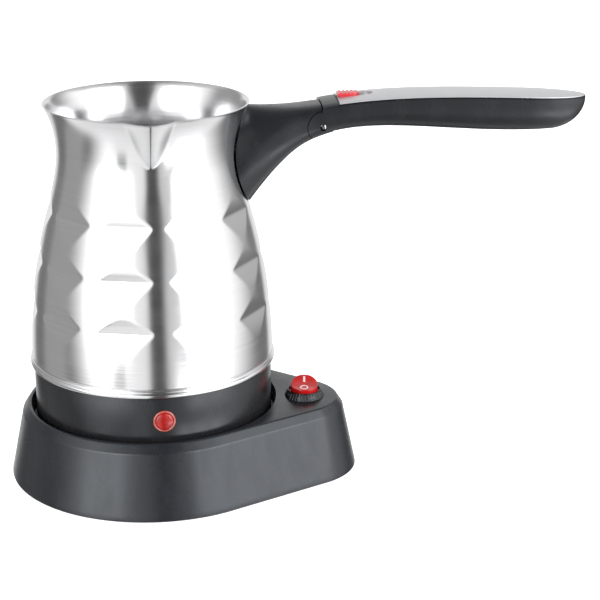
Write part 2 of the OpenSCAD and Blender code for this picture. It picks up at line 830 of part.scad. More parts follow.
module handle_root() color(charcoal) difference() {
    union() {
        root_form(root_start, joint_x - joint_gap, 16);
        intersection() {
            root_form(pin_x - 9, pin_x + 7, 6);
            across(knuckle_r, -knuckle_y, knuckle_y);
        }
    }
    pot_envelope(0.2);
    for (s = [-1, 1])
        across(ear_r + joint_gap, s > 0 ? knuckle_y : -beyond, s > 0 ? beyond : -knuckle_y);
    across(pin_r + run_gap, -beyond, beyond);
    // keeper for the bolt: a pocket that is round about the pin
    difference() {
        intersection() {
            across(knuckle_r + 2.4, -bolt_w - bolt_gap, bolt_w + bolt_gap);
            translate([joint_x - joint_gap - bolt_bite - 0.6, -10, pin_z])
                cube([10, 20, 20]);
        }
        across(knuckle_r, -10, 10);
    }
    // relief under the knuckle for the folded grip
    difference() {
        translate([pin_x - 0.7 * knuckle_r, -knuckle_y - 0.5, pin_z - knuckle_r - 4])
            cube([knuckle_r, 2 * knuckle_y + 1, knuckle_r]);
        across(knuckle_r, -10, 10);
    }
    // seat of the steel bracket
    translate([neck_r - 5, -8.3, pin_z - 16.3]) cube([6.9, 16.6, 14.6]);
    translate([neck_r, -bracket_tab.y / 2 - 0.3, bracket_tab_z - 0.3])
        cube(bracket_tab + [1.6, 0.6, 0.6]);
    // way for the screw from below
    translate([root_screw_x, 0, 0]) {
        post(screw_head_r + 0.3, pin_z - 40, root_screw_z);
        post(screw_shank_r + 0.2, root_screw_z - 2.5, root_screw_z + 6.5);
    }
}

module root_screw() color(bright) translate([root_screw_x, 0, root_screw_z])
    screw_up(screw_head_r, screw_head_h, screw_shank_r, root_screw_l);

module grip_shell() color(black) difference() {
    union() {
        skin([for (x = grip_stations(joint_x, tip_x)) grip_section(x, 0, 0, tip_x)]);
        // nose in front of the cover, as high as the cover's edge
        skin([for (i = [0:4]) let (x = joint_x + (cover_x0 - 0.2 - joint_x) * i / 4,
                w = side_w, z = lookup(x, grip_seam))
            [[x, -w, z - 1], [x, w, z - 1], [x, w, z + top_cover_t - 0.3],
             [x, w - 0.8, z + top_cover_t], [x, -w + 0.8, z + top_cover_t],
             [x, -w, z + top_cover_t - 0.3]]]);
        // ears round the hinge pin
        intersection() {
            root_form(pin_x - 9, pin_x + 1, 4);
            union() {
                across(ear_r, -beyond, -knuckle_y - 0.5);
                across(ear_r, knuckle_y + 0.5, beyond);
            }
        }
    }
    // room for the root's knuckle
    across(knuckle_r + joint_gap, -knuckle_y - 0.5, knuckle_y + 0.5);
    translate([pin_x - 12, -knuckle_y - 0.5, pin_z - 12])
        cube([12, 2 * knuckle_y + 1, 12 + knuckle_r]);
    across(pin_r + 0.02, -beyond, beyond);
    for (s = [-1, 1])
        across(pin_r + 0.35, s > 0 ? side_w - 0.4 : -beyond, s > 0 ? beyond : 0.4 - side_w);
    // channel of the bolt and its carriage
    translate([channel_x0, -bolt_w - bolt_gap, bolt_z - bolt_gap])
        cube([channel_x1 - channel_x0, 2 * (bolt_w + bolt_gap), bolt_t + 2 * bolt_gap]);
    translate([carriage_x0 - 0.6, -bolt_w - bolt_gap, bolt_z - bolt_gap])
        cube([channel_x1 - carriage_x0 + 0.6, 2 * (bolt_w + bolt_gap), 12]);
    // hollow of the grip
    skin([for (x = grip_stations(cavity_x0, tip_x - 3))
        grip_section(x, grip_wall, 3, tip_x - 3, 8)]);
    for (x = grip_screw_x) translate([x, 0, 0]) {
        low = lookup(x, grip_bottom);
        post(screw_shank_r + 0.2, low - 2, low + 6);
        post(screw_head_r + 0.3, low - 4, low + 1.2);
    }
}

// Cut from the cover's front edge back to x1, half as wide as w, with a round end
module round_ended(x1, w, z0, z1) {
    translate([cover_x0 - 1, -w, z0]) cube([x1 - w - cover_x0 + 1, 2 * w, z1 - z0]);
    translate([x1 - w, 0, 0]) post(w, z0, z1);
}

module grip_cover() color(silver_grey) {
    inset = 0.15;
    xs = grip_stations(cover_x0, tip_x - 0.4);
    difference() {
        union() {
            skin([for (x = xs) let (
                w = (grip_w - (grip_w - side_w) * max(0, 1 - (x - joint_x) / 20) - inset)
                    * tip_share(x, tip_side, tip_x - 0.4),
                z = lookup(x, grip_seam),
                c = top_cover_crown * tip_share(x, tip_side, tip_x - 0.4))
                concat([[x, -w, z + 0.02], [x, w, z + 0.02]],
                    [for (k = [4:-1:-4]) [x, w * k / 4, z + top_cover_t + c * (1 - k * k / 16)]])]);
            for (x = grip_screw_x) translate([x, 0, 0])
                post(post_r, lookup(x, grip_bottom) + grip_wall + 0.7, lookup(x, grip_seam) + 0.3);
        }
        round_ended(slot_x1, slot_w, pin_z, pin_z + 20);
        // level seat of the red slide
        round_ended(slider_x0 + slider_l + latch_travel + 0.3, slider_w + 0.3,
            slider_z0 - 0.15, slider_z0 + 5);
        for (x = grip_screw_x) translate([x, 0, 0])
            post(screw_shank_r + run_gap, lookup(x, grip_bottom), lookup(x, grip_seam) - 0.6);
    }
}

module hinge_pin() color(bright) across(pin_r, -side_w + 0.3, side_w - 0.3);

module hinge_washers() color(steel) for (s = [-1, 1]) difference() {
    across(washer_r, s > 0 ? knuckle_y + 0.05 : -knuckle_y - 0.45,
        s > 0 ? knuckle_y + 0.45 : -knuckle_y - 0.05);
    across(pin_r + 0.02, -beyond, beyond);
}

module grip_screws() color(bright) for (x = grip_screw_x)
    translate([x, 0, lookup(x, grip_bottom) + 1.2])
        screw_up(screw_head_r, screw_head_h, screw_shank_r, grip_screw_l);

slider_x0 = cover_x0 + 0.3;
slider_z0 = lookup(slider_x0 + slider_l + latch_travel, grip_seam) + top_cover_t
    + top_cover_crown - slide_seat + 0.15;

// Plan of the slide between two heights, with its round back end
module slide_plan(z0, z1) {
    translate([slider_x0, -slider_w, z0]) cube([slider_l - slider_w, 2 * slider_w, z1 - z0]);
    translate([slider_x0 + slider_l - slider_w, 0, 0]) post(slider_w, z0, z1);
}

module latch_slider() color(red) {
    ribs = 5;
    rib = slider_l / (2 * ribs);
    plate_top = slider_z0 + 0.8;
    slide_plan(slider_z0, plate_top);
    intersection() {
        for (i = [0:ribs - 1])
            translate([slider_x0 + (2 * i + 0.8) * rib, 2 * slider_w, plate_top - 0.4])
                rotate([90, 0, 0]) cylinder(r = rib * 0.8, h = 4 * slider_w, $fn = 24);
        slide_plan(plate_top - 0.2, plate_top + 1);
    }
    // neck through the cover's slot, down to the bolt
    translate([slider_x0 + 2, -1.9, bolt_z + bolt_t])
        cube([slider_l - 4.5, 3.8, slider_z0 - bolt_z - bolt_t + 0.4]);
}

module latch_bolt() color(steel) {
    tip = joint_x - joint_gap - bolt_bite;
    translate([tip, -bolt_w, bolt_z]) cube([carriage_x1 - tip, 2 * bolt_w, bolt_t]);
}

module latch_spring() color(steel) {
    coils = 5;
    wire = 0.3;
    coil_r = 0.95;
    per_coil = 8;
    x0 = carriage_x1 + wire + 0.05;
    run = channel_x1 - carriage_x1 - 2 * wire - 0.1;
    skin([for (i = [0:coils * per_coil]) let (a = 360 * i / per_coil)
        [for (k = [0:4]) let (b = -72 * k)
            [x0 + run * i / (coils * per_coil) + wire * sin(b),
             (coil_r + wire * cos(b)) * cos(a),
             bolt_z + bolt_t / 2 + 0.6 + (coil_r + wire * cos(b)) * sin(a)]]]);
}

base_shell();
base_bottom_cover();
base_feet();
base_screws();
base_connector();
base_contacts();
switch_bezel();
switch_body();
switch_terminals();
switch_nut();
cord_gland();
base_leads();
switch_rocker();
pot_body();
trim_ring();
heating_plate();
heating_element();
element_terminals();
thermostat();
thermal_fuse();
mounting_studs();
pot_base_housing();
housing_screws();
pot_connector();
connector_pins();
indicator_lens();
indicator_lamp();
handle_bracket();
handle_root();
root_screw();
grip_shell();
grip_cover();
hinge_pin();
hinge_washers();
grip_screws();
latch_slider();
latch_bolt();
latch_spring();
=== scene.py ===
"""Looks for the electric turkish coffee maker: finishes, fine shapes, studio and camera.

Sizes in the classes are millimetres and degrees. Meshes are written in metres.
"""

from __future__ import annotations

import logging
import math
from collections.abc import Callable, Iterable, Sequence
from dataclasses import dataclass, field
from enum import Enum
from functools import cached_property

import bmesh
import bpy
import numpy as np
from mathutils import Matrix, Vector


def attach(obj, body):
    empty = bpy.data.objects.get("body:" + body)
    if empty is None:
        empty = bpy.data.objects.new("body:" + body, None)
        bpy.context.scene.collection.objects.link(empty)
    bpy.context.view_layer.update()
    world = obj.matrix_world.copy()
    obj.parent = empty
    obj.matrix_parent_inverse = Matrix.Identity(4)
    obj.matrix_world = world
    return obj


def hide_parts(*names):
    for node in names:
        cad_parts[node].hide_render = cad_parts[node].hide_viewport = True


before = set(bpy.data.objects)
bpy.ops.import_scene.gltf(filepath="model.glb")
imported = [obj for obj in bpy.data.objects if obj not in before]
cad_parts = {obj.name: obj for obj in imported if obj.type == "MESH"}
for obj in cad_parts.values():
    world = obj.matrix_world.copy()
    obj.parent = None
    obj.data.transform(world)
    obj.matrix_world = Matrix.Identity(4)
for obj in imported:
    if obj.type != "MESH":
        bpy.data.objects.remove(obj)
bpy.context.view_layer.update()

MM = 0.001

Vec3 = tuple[float, float, float]
Pair = tuple[float, float]
Colour = tuple[float, float, float]
Socket = bpy.types.NodeSocket

NOISE_SPAN: Pair = (0.3, 0.7)
WHITE = (1.0, 1.0, 1.0, 1.0)

log = logging.getLogger("coffee_maker")


class Body(Enum):
    """The bodies that pieces ride on."""

    BASE = "base"
    ROCKER = "rocker"
    POT = "pot"
    GRIP = "grip"
    LATCH = "latch"


# ---------------------------------------------------------------- curves


@dataclass(frozen=True)
class Bezier:
    """Cubic curve through four handles, read as value over place."""

    handles: tuple[Pair, Pair, Pair, Pair]

    @cached_property
    def table(self) -> np.ndarray:
        """Points of the curve.

        Returns:
            One (place, value) pair a row.
        """
        t = np.linspace(0.0, 1.0, 200)[:, None]
        a, b, c, d = (np.array(h) for h in self.handles)
        return (1 - t) ** 3 * a + 3 * t * (1 - t) ** 2 * b + 3 * t * t * (1 - t) * c + t**3 * d

    def at(self, place: float) -> float:
        """Value of the curve at a place; beyond its ends it keeps the end's value."""
        return float(np.interp(place, self.table[:, 0], self.table[:, 1]))


def smooth_step(value: float) -> float:
    """Eases a value from 0 to 1."""
    t = min(1.0, max(0.0, value))
    return t * t * (3 - 2 * t)


def signed_power(value: float, power: float) -> float:
    """Raises a value to a power and keeps its sign."""
    return math.copysign(abs(value) ** power, value)


def soft_min(a: float, b: float, blend: float) -> float:
    """Smaller of two values, rounded where they are closer than blend."""
    h = max(blend - abs(a - b), 0.0) / blend
    return min(a, b) - h * h * blend / 4


def wrapped(angle: float) -> float:
    """Brings an angle in degrees into -180 to 180."""
    return (angle + 180) % 360 - 180


def turned(degrees: float, axis: str = "Z") -> Matrix:
    """Rotation about one of the main axes."""
    return Matrix.Rotation(math.radians(degrees), 4, axis)


def moved(x: float, y: float, z: float) -> Matrix:
    """Shift in millimetres."""
    return Matrix.Translation((x, y, z))


def angles(steps: int) -> list[float]:
    """Directions spread evenly round an axis, in radians."""
    return [2 * math.pi * i / steps for i in range(steps)]


def arc(radius: float, degrees: Iterable[float]) -> list[Pair]:
    """Points at the given angles of an arc about the origin."""
    return [(radius * math.cos(a), radius * math.sin(a)) for a in map(math.radians, degrees)]


def fillet(corner: Pair, directions: Sequence[float], radius: float) -> list[Pair]:
    """Rounds a corner where an outline bends to the right.

    Args:
        corner: Where the straight runs would meet.
        directions: Direction of the outline, in degrees, at each point of the round.
        radius: Radius of the round.

    Returns:
        Points of the round, with both of its ends.
    """
    first, last = math.radians(directions[0]), math.radians(directions[-1])
    reach = radius * math.tan((first - last) / 2)
    x = corner[0] - reach * math.cos(first) + radius * math.sin(first)
    y = corner[1] - reach * math.sin(first) - radius * math.cos(first)
    return [(x + dx, y + dy) for dx, dy in arc(radius, (turn + 90 for turn in directions))]


# ---------------------------------------------------------------- shaders


class Ramp(Enum):
    """How a mapped value runs from its first to its last result."""

    STRAIGHT = "LINEAR"
    SMOOTH = "SMOOTHSTEP"


class Graph:
    """A node tree with short-hands for adding and joining nodes."""

    def __init__(self, tree: bpy.types.NodeTree) -> None:
        """Keeps the tree.

        Args:
            tree: The tree that the nodes go into.
        """
        self.tree = tree

    @classmethod
    def emptied(cls, owner: bpy.types.World | bpy.types.Material) -> Graph:
        """Empties the node tree of a world or material.

        Args:
            owner: The world or material.

        Returns:
            Its graph, without nodes.
        """
        owner.use_nodes = True
        owner.node_tree.nodes.clear()
        return cls(owner.node_tree)

    def add(self, kind: str, **settings: object) -> bpy.types.Node:
        """Adds a node.

        Args:
            kind: The node's type name.
            **settings: Attributes to set on it.

        Returns:
            The new node.
        """
        node = self.tree.nodes.new(kind)
        for name, value in settings.items():
            setattr(node, name, value)
        return node

    def link(self, source: Socket, target: Socket) -> None:
        """Joins two sockets."""
        self.tree.links.new(source, target)

    def feed(self, target: Socket, value: Socket | float) -> None:
        """Joins a socket to a value, or sets it when the value is a number.

        Args:
            target: The socket that gets the value.
            value: The value.
        """
        if isinstance(value, bpy.types.NodeSocket):
            self.link(value, target)
        else:
            target.default_value = value

    def math(self, operation: str, *values: Socket | float) -> Socket:
        """Works out one operation.

        Args:
            operation: Name of the operation.
            *values: Its operands.

        Returns:
            The result.
        """
        node = self.add("ShaderNodeMath", operation=operation)
        for target, value in zip(node.inputs, values):
            self.feed(target, value)
        return node.outputs["Value"]

    def ranged(self, value: Socket, span: Pair, results: Pair, ramp: Ramp = Ramp.STRAIGHT) -> Socket:
        """Maps a span of values to a span of results, which hold beyond its ends.

        Args:
            value: The value to map.
            span: Values that give the first and the last result.
            results: The first and the last result.
            ramp: How the result runs between them.

        Returns:
            The result.
        """
        node = self.add("ShaderNodeMapRange", interpolation_type=ramp.value)
        self.link(value, node.inputs["Value"])
        for name, number in zip(("From Min", "From Max", "To Min", "To Max"), (*span, *results)):
            node.inputs[name].default_value = number
        return node.outputs["Result"]

    def eased(self, value: Socket, span: Pair, results: Pair) -> Socket:
        """Maps a span of values to a span of results, with smooth ends."""
        return self.ranged(value, span, results, Ramp.SMOOTH)

    def mixed(self, share: Socket, under: Socket | float, over: Socket | float) -> Socket:
        """Lays one value over another.

        Args:
            share: How much of the upper value shows, 0 to 1.
            under: The lower value.
            over: The upper value.

        Returns:
            The mixture.
        """
        node = self.add("ShaderNodeMix", data_type="FLOAT")
        self.link(share, node.inputs["Factor"])
        self.feed(node.inputs[2], under)
        self.feed(node.inputs[3], over)
        return node.outputs[0]


class Shader(Graph):
    """A new material with short-hands for the nodes that feed its Principled shader."""

    def __init__(self, name: str) -> None:
        """Makes the material.

        Args:
            name: Name of the material.
        """
        self.material = bpy.data.materials.new(name)
        self.material.use_nodes = True
        super().__init__(self.material.node_tree)
        self.surface = self.tree.nodes["Principled BSDF"]
        self.place = self.add("ShaderNodeTexCoord").outputs["Object"]

    def fix(self, values: dict[str, float | Sequence[float]]) -> None:
        """Sets inputs of the Principled shader.

        Args:
            values: Values by the names of their inputs.
        """
        for name, value in values.items():
            self.surface.inputs[name].default_value = value

    def noise(self, cells: float | Vec3, detail: float = 3.0) -> Socket:
        """Noise in object space.

        Args:
            cells: Cells per metre, in all directions or along each axis.
            detail: Number of finer layers.

        Returns:
            The noise value, 0 to 1.
        """
        mapping = self.add("ShaderNodeMapping")
        mapping.inputs["Scale"].default_value = cells if isinstance(cells, tuple) else (cells,) * 3
        self.link(self.place, mapping.inputs["Vector"])
        node = self.add("ShaderNodeTexNoise")
        node.inputs["Scale"].default_value = 1.0
        node.inputs["Detail"].default_value = detail
        self.link(mapping.outputs["Vector"], node.inputs["Vector"])
        return node.outputs["Fac"]

    def tint(self, value: Socket, first: Colour, second: Colour) -> None:
        """Colours the surface between two colours by a noise.

        Args:
            value: The noise.
            first: Colour where it is low.
            second: Colour where it is high.
        """
        node = self.add("ShaderNodeMix", data_type="RGBA")
        self.link(self.ranged(value, NOISE_SPAN, (0.0, 1.0)), node.inputs["Factor"])
        node.inputs[6].default_value = (*first, 1.0)
        node.inputs[7].default_value = (*second, 1.0)
        self.link(node.outputs[2], self.surface.inputs["Base Color"])

    def relief(self, height: Socket, depth: float, strength: float) -> None:
        """Bumps the surface.

        Args:
            height: Noise that gives the height of the bumps.
            depth: Their depth in millimetres.
            strength: How strongly they show, 0 to 1.
        """
        node = self.add("ShaderNodeBump")
        node.inputs["Distance"].default_value = depth * MM
        node.inputs["Strength"].default_value = strength
        self.link(height, node.inputs["Height"])
        self.link(node.outputs["Normal"], self.surface.inputs["Normal"])


@dataclass(frozen=True)
class Finish:
    """A finish: its name, the record's slot it belongs to, its colour and its gloss."""

    name: str
    slot: str
    colour: Colour
    roughness: float

    def material(self) -> bpy.types.Material:
        """The finish as a material, made once."""
        found = bpy.data.materials.get(self.name)
        return found if found is not None else self.made()

    def made(self) -> bpy.types.Material:
        """Makes the material.

        Returns:
            The new material.
        """
        shader = Shader(self.name)
        shader.fix({"Base Color": (*self.colour, 1.0), "Roughness": self.roughness})
        self.dress(shader)
        return shader.material

    def shade(self, factor: float) -> Colour:
        """The colour, darker or lighter by a factor."""
        r, g, b = self.colour
        return (min(1.0, r * factor), min(1.0, g * factor), min(1.0, b * factor))

    def cloud(self, shader: Shader, value: Socket, darkest: float, lightest: float) -> None:
        """Lets the colour vary with a noise between two factors."""
        shader.tint(value, self.shade(darkest), self.shade(lightest))

    def dull(self, shader: Shader, value: Socket, shifts: Pair, span: Pair = NOISE_SPAN) -> None:
        """Lets the roughness vary with a noise.

        Args:
            shader: The shader to dress.
            value: The noise.
            shifts: What it adds to the roughness where it is low and where it is high.
            span: Its values that count as low and high.
        """
        smoothest, roughest = (self.roughness + shift for shift in shifts)
        rough = shader.ranged(value, span, (smoothest, roughest))
        shader.link(rough, shader.surface.inputs["Roughness"])

    def dress(self, shader: Shader) -> None:
        """Adds the nodes of this kind of finish; the plain finish has none."""


@dataclass(frozen=True)
class BrushedSteel(Finish):
    """Steel with fine lines left by the lathe, which run round the upright axis."""

    line_pitch: float = 0.4
    line_depth: float = 0.002
    stretch: float = 0.75

    def dress(self, shader: Shader) -> None:
        """Adds the lathe lines, faint smears and the long highlights.

        Args:
            shader: The shader to dress.
        """
        surface, rough = shader.surface.inputs, self.roughness
        shader.fix({"Metallic": 1.0, "Anisotropic": self.stretch, "Anisotropic Rotation": 0.25})
        tangent = shader.add("ShaderNodeTangent", direction_type="RADIAL", axis="Z")
        shader.link(tangent.outputs["Tangent"], surface["Tangent"])
        lines = shader.noise((12.0, 12.0, 1.0 / (self.line_pitch * MM)), 4.0)
        self.cloud(shader, lines, 0.97, 1.02)
        ripple = shader.ranged(lines, NOISE_SPAN, (-0.02, 0.02))
        smears = shader.noise((22.0, 22.0, 60.0))
        smeared = shader.ranged(smears, (0.35, 0.7), (rough - 0.02, rough + 0.05))
        shader.link(shader.math("ADD", ripple, smeared), surface["Roughness"])
        shader.relief(lines, self.line_depth, 0.35)


@dataclass(frozen=True)
class MouldedPlastic(Finish):
    """Satin plastic with the fine grain of its mould."""

    grain: float = 0.35
    depth: float = 0.02
    shine: float = 0.5
    index: float = 1.5
    sheen: Colour = (0.9, 0.95, 1.0)

    def dress(self, shader: Shader) -> None:
        """Adds the grain, a faint cloudiness and handling marks.

        Args:
            shader: The shader to dress.
        """
        shader.fix({"Specular Tint": (*self.sheen, 1.0), "Specular IOR Level": self.shine, "IOR": self.index})
        self.cloud(shader, shader.noise(30.0), 0.9, 1.1)
        self.dull(shader, shader.noise((140.0, 140.0, 50.0), 4.0), (-0.04, 0.06), (0.35, 0.65))
        shader.relief(shader.noise(1.0 / (self.grain * MM), 2.0), self.depth, 0.5)


@dataclass(frozen=True)
class Lacquer(Finish):
    """Plastic under silver lacquer, with fine metal flakes under a clear coat."""

    flake: float = 0.12

    def dress(self, shader: Shader) -> None:
        """Adds the flakes and the coat.

        Args:
            shader: The shader to dress.
        """
        shader.fix({"Metallic": 0.55, "Coat Weight": 0.35, "Coat Roughness": 0.18})
        flakes = shader.noise(1.0 / (self.flake * MM), 1.0)
        self.cloud(shader, flakes, 0.92, 1.08)
        self.dull(shader, shader.noise((25.0, 40.0, 25.0), 2.0), (-0.03, 0.05))
        shader.relief(flakes, 0.006, 0.3)


@dataclass(frozen=True)
class GlossPlastic(Finish):
    """Glossy coloured plastic, a little clear in depth, with a painted glow: an emission of its own colour
    for light scattered in it.
    """

    depth: float = 0.0
    # Strength of the painted glow, an emission of the plastic's own colour.
    glow: float = 0.0

    def dress(self, shader: Shader) -> None:
        """Adds the depth, the painted glow, a wavy skin and the gloss coat.

        Args:
            shader: The shader to dress.
        """
        shader.fix({"Coat Weight": 0.5, "Coat Roughness": 0.06, "Transmission Weight": self.depth})
        # Painted glow: emission in the plastic's own colour stands in for light scattered inside it.
        if self.glow > 0:
            shader.fix({"Emission Color": (*self.colour, 1.0), "Emission Strength": self.glow})
        self.cloud(shader, shader.noise(260.0), 0.82, 1.15)
        waves = shader.noise(420.0, 2.0)
        self.dull(shader, waves, (0.0, 0.06))
        shader.relief(waves, 0.02, 0.25)


@dataclass(frozen=True)
class PlainMetal(Finish):
    """Rolled, plated or cast metal with dull patches and short scratches."""

    scratch: float = 0.3

    def dress(self, shader: Shader) -> None:
        """Adds the patches and scratches.

        Args:
            shader: The shader to dress.
        """
        shader.fix({"Metallic": 1.0})
        patches = shader.noise(180.0)
        self.cloud(shader, patches, 0.85, 1.05)
        self.dull(shader, patches, (-0.05, 0.1))
        shader.relief(shader.noise(1.0 / (self.scratch * MM)), 0.008, 0.4)


@dataclass(frozen=True)
class Glaze(Finish):
    """Glazed ceramic or printed ink: pale, speckled and softly shining."""

    def dress(self, shader: Shader) -> None:
        """Adds specks and a slightly uneven glaze.

        Args:
            shader: The shader to dress.
        """
        self.cloud(shader, shader.noise(900.0, 2.0), 0.88, 1.04)
        uneven = shader.noise(200.0, 2.0)
        self.dull(shader, uneven, (-0.05, 0.05))
        shader.relief(uneven, 0.03, 0.3)


CHARCOAL = MouldedPlastic(
    "charcoal_grain", "charcoal_plastic", (0.012, 0.0124, 0.0138), 0.25, depth=0.012
)
BASE_CHARCOAL = MouldedPlastic(
    "base_grain", "charcoal_plastic", (0.0105, 0.0118, 0.0148), 0.26, depth=0.012, index=1.57
)
BLACK = MouldedPlastic("black_satin", "black_plastic", (0.011, 0.011, 0.012), 0.24)
HOUSING_BLACK = MouldedPlastic(
    "housing_satin", "charcoal_plastic", (0.0135, 0.0135, 0.015), 0.25, depth=0.012
)
SILVER = Lacquer("silver_lacquer", "silver_plastic", (0.53, 0.535, 0.55), 0.34)
SLIDE_RED = GlossPlastic("slide_gloss", "slide_red", (0.6, 0.034, 0.044), 0.28)
# The last number of the rocker and of the lens is a painted glow: emission standing in for light scattered in
# the red plastic.
ROCKER_RED = GlossPlastic("rocker_clear", "rocker_red", (0.52, 0.008, 0.008), 0.14, 0.12, 0.05)
LENS_RED = GlossPlastic("lens_clear", "lens_red", (0.34, 0.006, 0.004), 0.2, 0.1, 0.04)
# The rim round the lens is a real ring; its pale red is a painted highlight on the lens's edge.
LENS_RIM_PAINTED_HIGHLIGHT = GlossPlastic("lens_rim_painted_highlight", "lens_red", (0.4, 0.07, 0.055), 0.24)
LEAD_RED = GlossPlastic("lead_skin", "lead_red", (0.5, 0.05, 0.05), 0.4)
MARK_WHITE = Glaze("mark_ink", "rocker_red", (0.9, 0.72, 0.7), 0.35)
RUBBER = MouldedPlastic("foot_rubber_skin", "foot_rubber", (0.03, 0.03, 0.033), 0.7, 0.5, 0.05, 0.3)
POT_STEEL = BrushedSteel("lathe_brushed_steel", "pot_steel", (0.78, 0.78, 0.79), 0.2)
RIM_STEEL = BrushedSteel("ring_steel", "bright_steel", (0.84, 0.84, 0.85), 0.14, 0.3, 0.002, 0.4)
PIN_STEEL = PlainMetal("pin_steel", "bright_steel", (0.85, 0.85, 0.86), 0.16)
BRACKET_STEEL = PlainMetal("bracket_steel_skin", "bracket_steel", (0.55, 0.55, 0.56), 0.34)
SPRING_STEEL = PlainMetal("spring_wire", "spring_steel", (0.42, 0.42, 0.44), 0.3)
ELEMENT_STEEL = PlainMetal("element_sheath", "element_steel", (0.3, 0.3, 0.31), 0.45)
ZINC = PlainMetal("zinc_plate", "zinc", (0.66, 0.67, 0.7), 0.3)
ALUMINIUM = PlainMetal("rolled_aluminium", "plate_aluminium", (0.6, 0.6, 0.62), 0.38)
BRASS = PlainMetal("contact_brass_skin", "contact_brass", (0.72, 0.53, 0.23), 0.28)
CERAMIC = Glaze("glazed_ceramic", "ceramic", (0.82, 0.79, 0.72), 0.3)

NODE_FINISHES: dict[Finish, tuple[str, ...]] = {
    BLACK: (
        "base_bottom_cover", "base_connector", "switch_body", "switch_nut", "cord_gland", "pot_connector",
    ),
    RUBBER: ("base_feet",),
    ZINC: (
        "base_screws", "thermostat", "mounting_studs", "housing_screws", "root_screw", "grip_screws",
    ),
    BRASS: ("base_contacts", "switch_terminals", "connector_pins"),
    LEAD_RED: ("base_leads",),
    ALUMINIUM: ("heating_plate",),
    ELEMENT_STEEL: ("heating_element",),
    CERAMIC: ("element_terminals", "thermal_fuse", "indicator_lamp"),
    BRACKET_STEEL: ("handle_bracket", "hinge_washers", "latch_bolt"),
    SPRING_STEEL: ("latch_spring",),
}


# ---------------------------------------------------------------- meshes


def placed(name: str, data: bpy.types.ID) -> bpy.types.Object:
    """Makes an object of a mesh, lamp or camera.

    Args:
        name: Name of the object.
        data: What it shows.

    Returns:
        The object, linked into the scene.
    """
    piece = bpy.data.objects.new(name, data)
    bpy.context.scene.collection.objects.link(piece)
    return piece


class Form:
    """Collects points and faces in millimetres and turns them into a piece."""

    def __init__(self) -> None:
        """Starts empty."""
        self.points: list[Sequence[float]] = []
        self.faces: list[tuple[int, ...]] = []

    @classmethod
    def taken(cls, piece: bpy.types.Object) -> Form:
        """Takes over the mesh of a piece, which goes.

        Args:
            piece: The piece.

        Returns:
            Its points and faces.
        """
        form = cls()
        form.ring(tuple(v.co / MM) for v in piece.data.vertices)
        form.faces = [tuple(p.vertices) for p in piece.data.polygons]
        bpy.data.objects.remove(piece)
        return form

    def ring(self, points: Iterable[Sequence[float]]) -> list[int]:
        """Adds points.

        Args:
            points: The points, in order.

        Returns:
            Their numbers.
        """
        start = len(self.points)
        self.points.extend(points)
        return list(range(start, len(self.points)))

    def loft(self, sections: Iterable[Iterable[Sequence[float]]], capped: bool = True) -> Form:
        """Skins closed sections one after another.

        Args:
            sections: Sections with the same number of points.
            capped: Whether the first and last are closed; otherwise they are joined.

        Returns:
            This form.
        """
        rings = [self.ring(section) for section in sections]
        pairs = list(zip(rings, rings[1:]))
        if not capped:
            pairs.append((rings[-1], rings[0]))
        for first, second in pairs:
            for i in range(len(first)):
                j = (i + 1) % len(first)
                self.faces.append((first[i], first[j], second[j], second[i]))
        if capped:
            self.faces += [tuple(reversed(rings[0])), tuple(rings[-1])]
        return self

    def revolve(self, profile: Sequence[Pair], steps: int = 192, capped: bool = True) -> Form:
        """Turns a profile of (radius, height) pairs about the upright axis.

        Args:
            profile: The profile, from one end to the other or round a closed loop.
            steps: Number of sections round the axis.
            capped: Whether the ends are closed by discs; otherwise they are joined.

        Returns:
            This form.
        """
        turns = angles(steps)
        return self.loft(([(r * math.cos(a), r * math.sin(a), z) for a in turns] for r, z in profile), capped)

    def tube(self, radius: float, low: float, high: float, place: Matrix, steps: int = 64) -> Form:
        """Adds a plain round bar, used to cut holes.

        Args:
            radius: Its radius.
            low: Start along its own axis.
            high: End along its own axis.
            place: Where it stands.
            steps: Sections round it.

        Returns:
            This form.
        """
        before = len(self.points)
        self.revolve([(radius, low), (radius, high)], steps)
        for i in range(before, len(self.points)):
            self.points[i] = tuple(place @ Vector(self.points[i]))
        return self

    def block(self, low: Vec3, high: Vec3) -> Form:
        """Adds a plain box, used to cut slots.

        Args:
            low: Its corner with the lowest coordinates.
            high: Its corner with the highest ones.

        Returns:
            This form.
        """
        plan = ((low[0], low[1]), (high[0], low[1]), (high[0], high[1]), (low[0], high[1]))
        return self.loft([(x, y, z) for x, y in plan] for z in (low[2], high[2]))

    def mesh(self, name: str, place: Matrix | None = None) -> bpy.types.Object:
        """Makes the mesh object, in metres and with its faces turned outwards.

        Args:
            name: Name of the object.
            place: Where the form goes, in millimetres.

        Returns:
            The object, linked into the scene.
        """
        data = bpy.data.meshes.new(name)
        data.from_pydata([tuple(p) for p in self.points], [], self.faces)
        work = bmesh.new()
        work.from_mesh(data)
        bmesh.ops.recalc_face_normals(work, faces=work.faces)
        work.to_mesh(data)
        work.free()
        data.transform(Matrix.Scale(MM, 4) @ (place or Matrix.Identity(4)))
        return placed(name, data)


class Cut(Enum):
    """What a cutting form does to a piece."""

    REMOVE = "DIFFERENCE"
    ADD = "UNION"
    KEEP = "INTERSECT"


